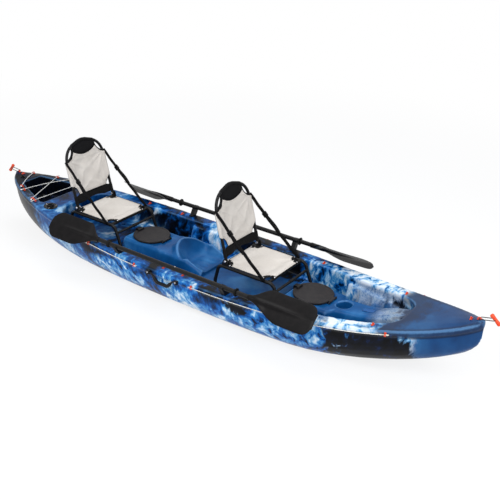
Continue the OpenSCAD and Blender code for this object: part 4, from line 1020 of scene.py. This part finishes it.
for seat, x0 in SEATS.items():
    body = f"{seat}_seat_back"
    on_panel, on_head, on_band = (partial(place_of, x0) for place_of in (panel_place, head_place, band_place))
    panel = cut_cloth(f"{seat}_back_cloth", panel_outline, CLOTH_GRID, on_panel, mesh_cloth)
    thicken(panel, PANEL_THICK)
    head = cut_cloth(f"{seat}_head_pad", head_outline, CLOTH_GRID, on_head, black_cloth)
    fill_out(head, head_outline, *HEAD_PAD)
    band = cut_cloth(f"{seat}_lumbar_cloth", band_outline, BAND_GRID, on_band, black_cloth)
    fill_out(band, band_outline, *BAND_PAD)
    trims = []
    for part, outline, hang in (("back", panel_outline, on_panel), ("head", head_outline, on_head),
                                ("lumbar", band_outline, on_band)):
        line = [hang(y, z) for y, z in outline]
        trims.append(bound(f"{seat}_{part}_binding", line, BACK_BINDING, closed=True))
    for side, label in SIDES:
        grip = [on_back(x0, side * y, z, 0.001) for y, z in
                arc_between(HAND_CENTRE, LOOP_START, LOOP_END, 14, -1)]
        trims.append(bound(f"{seat}_{label}_hand_loop", grip, LOOP_R))
        wrap = [on_back(x0, side * BACK_Y, BAND_LOW - 0.002 + (0.078 - BAND_LOW) * k / 6) for k in range(7)]
        trims.append(bound(f"{seat}_{label}_band_sleeve", wrap, BAND_SLEEVE_R))
    roof = [on_back(x0, y, z) for y, z in head_roof[:-1] + [(-y, z) for y, z in reversed(head_roof)]]
    trims.append(bound(f"{seat}_head_sleeve", roof, HEAD_SLEEVE_R))
    row = stitch_row(f"{seat}_back_stitches", inset_line(panel_outline, SEAM), on_panel,
                     STITCH_LIFT * BACK_AHEAD)
    trims.append(row)
    for piece in [panel, head, band] + trims:
        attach(piece, body)
    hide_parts(f"{seat}_seat_back_panel")
    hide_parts(f"{seat}_seat_head_panel")
    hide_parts(f"{seat}_seat_lumbar_band")
    flat_area(panel_outline)
print("backrests dressed")

# %% [markdown]
# The four corners of a seat pan are hollow. A doubled black band follows the hollow edge from tube to
# tube and takes the pull of the cloth, with bound edges and a rivet at each end. The band is cut as a
# flat strip and bent round the corner, so its flat length is measured along its middle line.

# %% Corner bands
BAND_INNER, BAND_OUTER = CORNER_CUT - 0.014, CORNER_CUT + 0.006
BAND_MIDDLE = (BAND_INNER + BAND_OUTER) / 2
BAND_RUN = BAND_MIDDLE * math.pi / 2
STRIP_GRID, STRIP_THICK, STRIP_BINDING, STRIP_STEPS = 0.005, 0.0036, 0.0026, 14
RIVET_R, RIVET_INSET, RIVET_LIFT = 0.005, 0.004, Vector((0, 0, 0.0016))


def corner_place(x0, end, side, run, out):
    """run is the way along the band from the side tube, out the distance from the corner."""
    corner_x = PAN_FORE if end > 0 else PAN_AFT
    u, v = out * math.cos(run / BAND_MIDDLE), out * math.sin(run / BAND_MIDDLE)
    fall = 0.003 * (ease(0.012, 0.0, u) + ease(0.012, 0.0, v))
    return Vector((x0 + corner_x - end * u, side * (PAN_HALF - v), PAN_Z + 0.0042 - fall))


band_strip = oblong((0, BAND_INNER), (BAND_RUN, BAND_OUTER))
for seat, x0 in SEATS.items():
    for end, end_label in ENDS:
        for side, label in SIDES:
            name = f"{seat}_{end_label}_{label}"
            hang = partial(corner_place, x0, end, side)
            band = cut_cloth(f"{name}_corner_band", band_strip, STRIP_GRID, hang, black_cloth)
            thicken(band, STRIP_THICK)
            trims = []
            for rim, out in (("inner", BAND_INNER), ("outer", BAND_OUTER)):
                line = [hang(BAND_RUN * k / STRIP_STEPS, out) for k in range(STRIP_STEPS + 1)]
                trims.append(bound(f"{name}_{rim}_binding", line, STRIP_BINDING))
            for foot, run in (("side", RIVET_INSET), ("cross", BAND_RUN - RIVET_INSET)):
                at = Matrix.Translation(hang(run, BAND_MIDDLE) + RIVET_LIFT)
                rivet_shape = bmesh.new()
                bmesh.ops.create_uvsphere(rivet_shape, u_segments=20, v_segments=10, radius=RIVET_R,
                                          matrix=at @ Matrix.Diagonal((1, 1, 0.5, 1)))
                trims.append(make_piece(f"{name}_{foot}_rivet", rivet_shape, steel))
            for piece in [band] + trims:
                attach(piece, "hull")
    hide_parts(f"{seat}_seat_corner_plates")
print("corner bands", round(BAND_RUN, 3), "m long")

# %% [markdown]
# Two straps hold each backrest up. A strap is flat webbing from the front of the side rail to the
# shoulder of the backrest, with a ladder buckle a third of the way down and its loose tail below.
# The straps cross the hinge of the backrest, and they are attached to neither the hull nor the backrest.

# %% Straps and buckles
STRAP_WIDTH, STRAP_HOLD, STRAP_THICK, STRAP_GRID = 0.025, 0.330, 0.002, 0.010
STRAP_SAG, STRAP_FLUTTER = 0.006, 0.0012
BUCKLE_SHARE = 0.32
TAIL_START, TAIL_END, TAIL_HALF = 0.012, 0.15, 0.0122
BUCKLE_SIDE, BUCKLE_RUNG = (0.0054, 0.009, 0.034), (0.030, 0.0046, 0.0052)


def bar(shape, size, place, turn, soft):
    made = bmesh.ops.create_cube(shape, size=1, matrix=place @ turn @ Matrix.Diagonal((*size, 1)))
    edges = {edge for vert in made["verts"] for edge in vert.link_edges}
    round_off(shape, list(edges), soft, 3)


for seat, x0 in SEATS.items():
    straps, buckles = [], []
    for side, label in SIDES:
        foot = Vector((x0 - 0.020, side * (RAIL_Y + 0.0123), RAIL_Z + 0.006))
        crown_end = on_back(x0, side * (BACK_Y + 0.0113), STRAP_HOLD)
        run = crown_end - foot
        across = Vector((run.z, 0, -run.x)).normalized()
        outward = Vector((0, side, 0))

        def strap_place(u, v, lift=0.0):
            share = u / run.length
            sag = STRAP_SAG * math.sin(math.pi * share)
            flutter = STRAP_FLUTTER * math.sin(9 * math.pi * share)
            return foot + run * share + across * (v - sag) + outward * (flutter + lift)

        length = run.length
        strip = oblong((0, -STRAP_WIDTH / 2), (length, STRAP_WIDTH / 2))
        strap = cut_cloth(f"{seat}_{label}_strap", strip, STRAP_GRID, strap_place, webbing)
        thicken(strap, STRAP_THICK)
        buckle_run = length * (1 - BUCKLE_SHARE)
        tail_from, tail_to = buckle_run - TAIL_START, buckle_run - TAIL_END

        def tail_place(u, v):
            return strap_place(u, v, 0.0034 + 0.006 * math.sin(math.pi * (tail_from - u) / TAIL_END))

        tail_strip = oblong((tail_to, -TAIL_HALF), (tail_from, TAIL_HALF))
        tail = cut_cloth(f"{seat}_{label}_strap_tail", tail_strip, STRAP_GRID, tail_place, webbing)
        thicken(tail, STRAP_THICK)
        heading = run.normalized()
        turn = Matrix((across, outward, heading)).transposed().to_4x4()
        buckle_shape = bmesh.new()
        at = Matrix.Translation(strap_place(buckle_run, 0))
        for place_x in (-0.0156, 0.0156):
            bar(buckle_shape, BUCKLE_SIDE, at @ Matrix.Translation(across * place_x), turn, 0.0016)
        for place_z, lift in ((-0.0145, 0.0), (0.0, 0.0030), (0.0145, 0.0)):
            shift = heading * place_z + outward * (lift + 0.0038)
            bar(buckle_shape, BUCKLE_RUNG, at @ Matrix.Translation(shift), turn, 0.0014)
        buckle = make_piece(f"{seat}_{label}_buckle", buckle_shape, black_plastic,
                            smooth=False)
        straps.append(strap)
        buckles.append(buckle)
        for piece in (strap, tail, buckle):
            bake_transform(piece)
    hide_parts(f"{seat}_seat_straps")
    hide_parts(f"{seat}_seat_buckles")
print("straps and buckles made")

# %% [markdown]
# A blade is one moulded piece. A round neck takes the end of the shaft and runs on as a rib that
# fades towards the tip, and the thin faces on both sides of it curve a little like a spoon. The
# outline is not even: the edge that lies inboard reaches full width sooner. A capped cylinder is
# sliced into rings, and each ring is drawn out to its width, thickness and rib.

# %% Paddle blades
SHAFT_HALF, BLADE_LENGTH, BLADE_HALF = 0.600, 0.450, 0.093
NECK_R, RIM_T, SPOON, DIHEDRAL = 0.0175, 0.0022, 0.012, 0.014
BLADE_SLOPE, TIP_START = math.radians(45), 0.84
PADDLES = {"starboard": (Vector((0.020, -0.412, 0.342)), -1), "port": (Vector((-0.050, 0.412, 0.342)), 1)}


def blade_width(u, inboard):
    width = NECK_R + (BLADE_HALF - NECK_R) * ease(0.02, 0.30 if inboard else 0.52, u)
    if u > TIP_START:
        width *= max(0.2, 1 - ((u - TIP_START) / (1 - TIP_START)) ** 2.4) ** 0.42
    return width


def blade_point(u, c, s, inboard):
    """A point of the blade: across and normal to it, for a turn of cosine c and sine s."""
    across = blade_width(u, inboard) * c
    face = RIM_T + (NECK_R - RIM_T) * (1 - ease(0.03, 0.30, u))
    face *= 1 - 0.6 * ease(0.96, 1.0, u)
    rib_height = 0.012 * ease(0.06, 0.24, u) * (1 - ease(0.34, 0.95, u))
    rib_reach = 0.0125 - 0.005 * u
    rib = rib_height * math.exp(-(across / rib_reach) ** 2)
    flat_s = math.copysign(abs(s) ** 0.75, s)
    fall = DIHEDRAL * ease(0.08, 0.35, u) * (abs(across) / BLADE_HALF) ** 1.2
    return across, face * flat_s + rib * s - fall + SPOON * max(0.0, u - 0.25) ** 2


BLADE_ROWS = [k * 0.022 for k in range(1, 41)] + [0.9, 0.92, 0.94, 0.955, 0.968, 0.978, 0.986, 0.992, 0.996]
for label, (centre, side) in PADDLES.items():
    for end, end_label in ENDS:
        shape = bmesh.new()
        bmesh.ops.create_cone(shape, cap_ends=True, segments=72, radius1=1, radius2=1, depth=1,
                              matrix=Matrix.Translation((0, 0, 0.5)))
        for row in BLADE_ROWS:
            slice_at(shape, (0, 0, row), (0, 0, 1))
        lean = -side * BLADE_SLOPE
        for vert in shape.verts:
            u = vert.co.z
            across, proud = blade_point(u, vert.co.x, vert.co.y, side * vert.co.x < 0)
            vert.co = centre + Vector((end * (SHAFT_HALF + u * BLADE_LENGTH),
                                       across * math.cos(lean) - proud * math.sin(lean),
                                       across * math.sin(lean) + proud * math.cos(lean)))
        bmesh.ops.recalc_face_normals(shape, faces=shape.faces)
        blade = make_piece(f"{label}_{end_label}_blade", shape, FINISHES["blade_plastic"])
        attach(blade, f"{label}_paddle")
    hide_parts(f"{label}_paddle_blades")

# %% [markdown]
# Three kinds of cord are on the hull. Four shock cords lace over the tank well from eye to eye, a
# line runs through the eyes along each side in two lengths, and a black loop carries the toggle at
# each end. Each is one smooth curve at its real length and thickness. The shock cords and lines end
# in small round knots behind their eyes, and the loops go back into their own eye. All are braided.

# %% Cord finishes and knots
CORD_D = 0.005
KNOT_SIZE, KNOT_R = 0.0019, 0.0021


def braided(name, light, dark, share):
    """Braid with dark flecks; a larger share has more of them."""
    finish = start_finish(name, light, 0.8)
    place = object_place(finish)
    fleck = noise_of(finish, place, 310.0, 2.0, 0.6)
    wire(finish, mixed(finish, span(finish, fleck, 0.50 + share, 0.44 + share), light, dark),
         shader_input(finish, "Base Color"))
    bump(finish, noise_of(finish, place, 620.0, 2.0), 0.5, 0.0005)
    return finish


shock_cord = braided("shock_cord", tone(236, 236, 232), tone(52, 54, 60), -0.045)
deck_cord = braided("deck_cord", tone(224, 222, 214), tone(60, 58, 56), -0.05)
toggle_rope = braided("toggle_rope", tone(26, 26, 27), tone(12, 12, 12), 0.0)


def cord_piece(name, points, finish):
    path = round_line(name, points, CORD_D / 2, 3)
    path.materials.append(finish)
    piece = in_scene(name, path)
    return piece


def run_length(points):
    return sum((Vector(b) - Vector(a)).length for a, b in zip(points, points[1:]))


def knot(name, place, finish, slot):
    """A round stopper knot: one closed tube that winds three times round itself."""
    points = []
    for k in range(60):
        t = math.radians(6 * k)
        winding = Vector((math.sin(t) + 2 * math.sin(2 * t), math.cos(t) - 2 * math.cos(2 * t),
                          -math.sin(3 * t)))
        points.append(Vector(place) + KNOT_SIZE * winding)
    return tube_piece(name, points, KNOT_R, finish, slot, closed=True)


def taut_cord(name, points, finish, slot, tips):
    """A cord that is pulled straight on the hull, with a knot at its first and last point."""
    cord = cord_piece(name, points, finish)
    ends = [knot(f"{name}_{tip}_knot", place, finish, slot)
            for tip, place in zip(tips, (points[0], points[-1]))]
    for piece in [cord] + ends:
        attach(piece, "hull")
    print(name, round(run_length(points), 3), "m")
    return cord


print("cord finishes ready")

# %% [markdown]
# The shock cords run straight from eye to eye and a little past them. The two aft ones rise by up to
# a centimetre in the middle, to clear what lies below.

# %% Shock cords
SHOCK_CORDS = (((-1.656, -0.13834, 0.36032), (-1.770, 0.07559, 0.37216), 0.010),
               ((-1.600, -0.16335, 0.35545), (-1.495, 0.20362, 0.34704), 0.008),
               ((-1.445, -0.22039, 0.34339), (-1.600, 0.16335, 0.35545), 0.0),
               ((-1.410, -0.23135, 0.34092), (-1.390, 0.23735, 0.33950), 0.0))
OVERRUN, CORD_STEPS = 0.06, 28
shares = [-OVERRUN + (1 + 2 * OVERRUN) * k / CORD_STEPS for k in range(CORD_STEPS + 1)]
for number, (first, last, lift) in enumerate(SHOCK_CORDS, 1):
    points = [Vector(first).lerp(Vector(last), f) + Vector((0, 0, lift * max(0.0, math.sin(math.pi * f))))
              for f in shares]
    taut_cord(f"shock_cord_{number}", points, shock_cord, "white_cord",
                                 ("starboard", "port"))
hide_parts("tank_well_bungee")

# %% [markdown]
# The side lines follow the gunwale, a little outside and below it. Its width and height at each
# place come from the same lines as the hull's masks.

# %% Side lines
LINE_OUT, LINE_DROP = 0.0072, 0.020
LINE_RUNS = (("aft", -0.714, -0.255, 18), ("fore", 0.185, 1.439, 40))


def beam_at(x):
    return HALF_BEAM * (1 - (abs(x) / HALF_LENGTH) ** PLAN_POWER) ** PLAN_ROUND


def sheer_at(x):
    u = abs(x) / HALF_LENGTH
    return GUNWALE + (BOW_RISE * u ** BOW_POWER if x > 0 else STERN_RISE * u ** STERN_POWER)


def line_place(x, side):
    slope = (beam_at(x + 0.001) - beam_at(x - 0.001)) / 0.002
    return Vector((x, side * (beam_at(x) + LINE_OUT * math.hypot(1, slope)), sheer_at(x) - LINE_DROP))


for side, label in SIDES:
    for end_label, start, end, steps in LINE_RUNS:
        points = [line_place(start + (end - start) * k / steps, side) for k in range(steps + 1)]
        taut_cord(f"{label}_{end_label}_line", points, deck_cord, "flecked_cord",
                                    ("stern", "bow"))
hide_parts("deck_lines")

# %% [markdown]
# A toggle hangs on a loop of black rope that comes out of one side of the end eye, goes through the
# grip and returns to the other side. Its four corners are rounded to two rope diameters, the
# tightest that a limp rope of this kind takes.

# %% Toggle loops
LOOP_HALF, LOOP_REACH, LOOP_BEND = 0.0155, 0.086, 0.0102
TOGGLES = {"bow": (Vector((1.841, 0, 0.46723)), 1, math.radians(13.5148)),
           "stern": (Vector((-1.841, 0, 0.39142)), -1, math.radians(3.9794))}


def rounded(points, radius, count):
    """A line with its square corners turned into arcs of that radius."""
    points = [Vector(point) for point in points]
    made = [points[0]]
    for before, corner, after in zip(points, points[1:], points[2:]):
        first = corner + (before - corner).normalized() * radius
        last = corner + (after - corner).normalized() * radius
        centre = first + last - corner
        for k in range(count + 1):
            turned = math.pi / 2 * k / count
            made.append(centre + (first - centre) * math.cos(turned) + (last - centre) * math.sin(turned))
    return made + [points[-1]]


for label, (eye, heading, rise) in TOGGLES.items():
    flat_loop = rounded([(0, 0.0035, 0), (0, LOOP_HALF, 0), (LOOP_REACH, LOOP_HALF, 0),
                         (LOOP_REACH, -LOOP_HALF, 0), (0, -LOOP_HALF, 0), (0, -0.0035, 0)], LOOP_BEND, 8)
    points = [eye + Vector((heading * p.x * math.cos(rise), p.y, p.x * math.sin(rise))) for p in flat_loop]
    loop = cord_piece(f"{label}_toggle_loop", points, toggle_rope)
    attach(loop, f"{label}_toggle")
    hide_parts(f"{label}_toggle_cord")
    print(label, "toggle loop", round(run_length(points), 3), "m")

# %% [markdown]
# A carry handle is a bar with a thick grip moulded round its middle. The CAD bar is square in its
# bends. A tube along a soft curve, with a radius that swells on the grip, looks moulded, and the
# box of the CAD handle gives its ends, its drop and its place.

# %% Carry handles
BAR, GRIP, HANDLE_STEPS = 0.006, 0.0118, 64
CAD_GRIP = 0.010
BEND_START, BEND_END = 0.016, 0.078
GRIP_START, GRIP_END = 0.030, 0.056
for label in ("starboard", "port"):
    low, high = (Vector(corner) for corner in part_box(f"{label}_handle"))
    middle = (low + high) / 2
    half = (high.x - low.x) / 2
    pivot_z = high.z - BAR
    drop = pivot_z - low.z - CAD_GRIP
    runs = [half * (2 * k / HANDLE_STEPS - 1) for k in range(HANDLE_STEPS + 1)]
    drops = [drop * ease(half - BEND_START, half - BEND_END, abs(run)) for run in runs]
    points = [Vector((middle.x + run, middle.y, pivot_z - fall)) for run, fall in zip(runs, drops)]
    swell = [1 + (GRIP / BAR - 1) * ease(half - GRIP_START, half - GRIP_END, abs(run)) for run in runs]
    handle = tube_piece(f"{label}_carry_handle", points, BAR, black_plastic, "black_plastic", swell=swell)
    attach(handle, f"{label}_handle")
    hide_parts(f"{label}_handle")
    print(label, "handle drops", round(drop, 4), "m")

# %% [markdown]
# Small fittings finish the boat. Each carry handle turns in two moulded brackets, which have soft
# corners and a pale bolt with a round socket.

# %% Handle brackets
BRACKET, BRACKET_ROUND, BOLT_R = (0.022, 0.021, 0.026), 0.0045, 0.0058
bracket_low, bracket_high = (Vector(corner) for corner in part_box("handle_brackets"))


def soft_block(name, centre, size, radius, finish):
    shape = bmesh.new()
    bmesh.ops.create_cube(shape, size=1, matrix=Matrix.Translation(centre) @ Matrix.Diagonal((*size, 1)))
    round_off(shape, shape.edges[:], radius, 4)
    return make_piece(name, shape, finish)


def bolt_head(name, place, out, radius, finish):
    """A low round head with a sunk round socket, facing along out."""
    turn = Vector(out).to_track_quat("Z", "Y").to_matrix().to_4x4()
    shape = bmesh.new()
    bmesh.ops.create_cone(shape, cap_ends=True, segments=24, radius1=radius, radius2=radius * 0.86,
                          depth=radius * 0.8)
    top = max(shape.faces, key=lambda face: face.calc_center_median().z)
    bmesh.ops.inset_region(shape, faces=[top], thickness=radius * 0.3)
    bmesh.ops.inset_region(shape, faces=[top], thickness=radius * 0.06)
    bmesh.ops.translate(shape, verts=top.verts, vec=(0, 0, -radius * 0.4))
    bmesh.ops.transform(shape, matrix=Matrix.Translation(place) @ turn, verts=shape.verts)
    return make_piece(name, shape, finish, smooth=False)


for side, label in SIDES:
    for end, end_x in (("aft", bracket_low.x + BRACKET[0] / 2), ("fore", bracket_high.x - BRACKET[0] / 2)):
        outer = bracket_low.y if side < 0 else bracket_high.y
        middle = Vector((end_x, outer - side * BRACKET[1] / 2, (bracket_low.z + bracket_high.z) / 2))
        block = soft_block(f"{label}_{end}_bracket", middle, BRACKET, BRACKET_ROUND, black_plastic)
        bolt_place = (end_x, outer + side * 0.0008, middle.z + 0.004)
        bolt = bolt_head(f"{label}_{end}_bracket_bolt", bolt_place, (0, side, 0), BOLT_R, steel)
        for piece in (block, bolt):
            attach(piece, "hull")
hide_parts("handle_brackets")
print("brackets", [round(v, 4) for v in bracket_low], [round(v, 4) for v in bracket_high])

# %% [markdown]
# A thin plate with rounded corners and a raised rim lies in the recess ahead of the cup holder.

# %% Console plate
PLATE_PLACE = Matrix.Translation((1.200, 0, 0.2740)) @ Matrix.Rotation(math.radians(-10), 4, "Y")
PLATE_SIZE, PLATE_ROUND = (0.080, 0.046, 0.004), 0.006
plate_finish = grained("plate_blue", tone(24, 76, 134), tone(34, 90, 150), 0.4, 200, 0.0002,
                       Specular_IOR_Level=0.15)
plate_shape = bmesh.new()
bmesh.ops.create_cube(plate_shape, size=1, matrix=PLATE_PLACE @ Matrix.Translation((0, 0, -0.001))
                      @ Matrix.Diagonal((*PLATE_SIZE, 1)))
upright = [edge for edge in plate_shape.edges if abs((edge.verts[0].co - edge.verts[1].co).z) > 0.002
           and edge.calc_length() < 0.006]
round_off(plate_shape, upright, PLATE_ROUND, 4)
plate = make_piece("console_plate", plate_shape, plate_finish, smooth=False)
rim_line = [PLATE_PLACE @ Vector((x, y, 0.001)) for x, y in oblong((-0.037, -0.020), (0.037, 0.020))]
plate_rim = tube_piece("console_plate_rim", rim_line, 0.0009, black_plastic, "black_plastic", closed=True)
for piece in (plate, plate_rim):
    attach(piece, "hull")
print("plate measures", PLATE_SIZE)
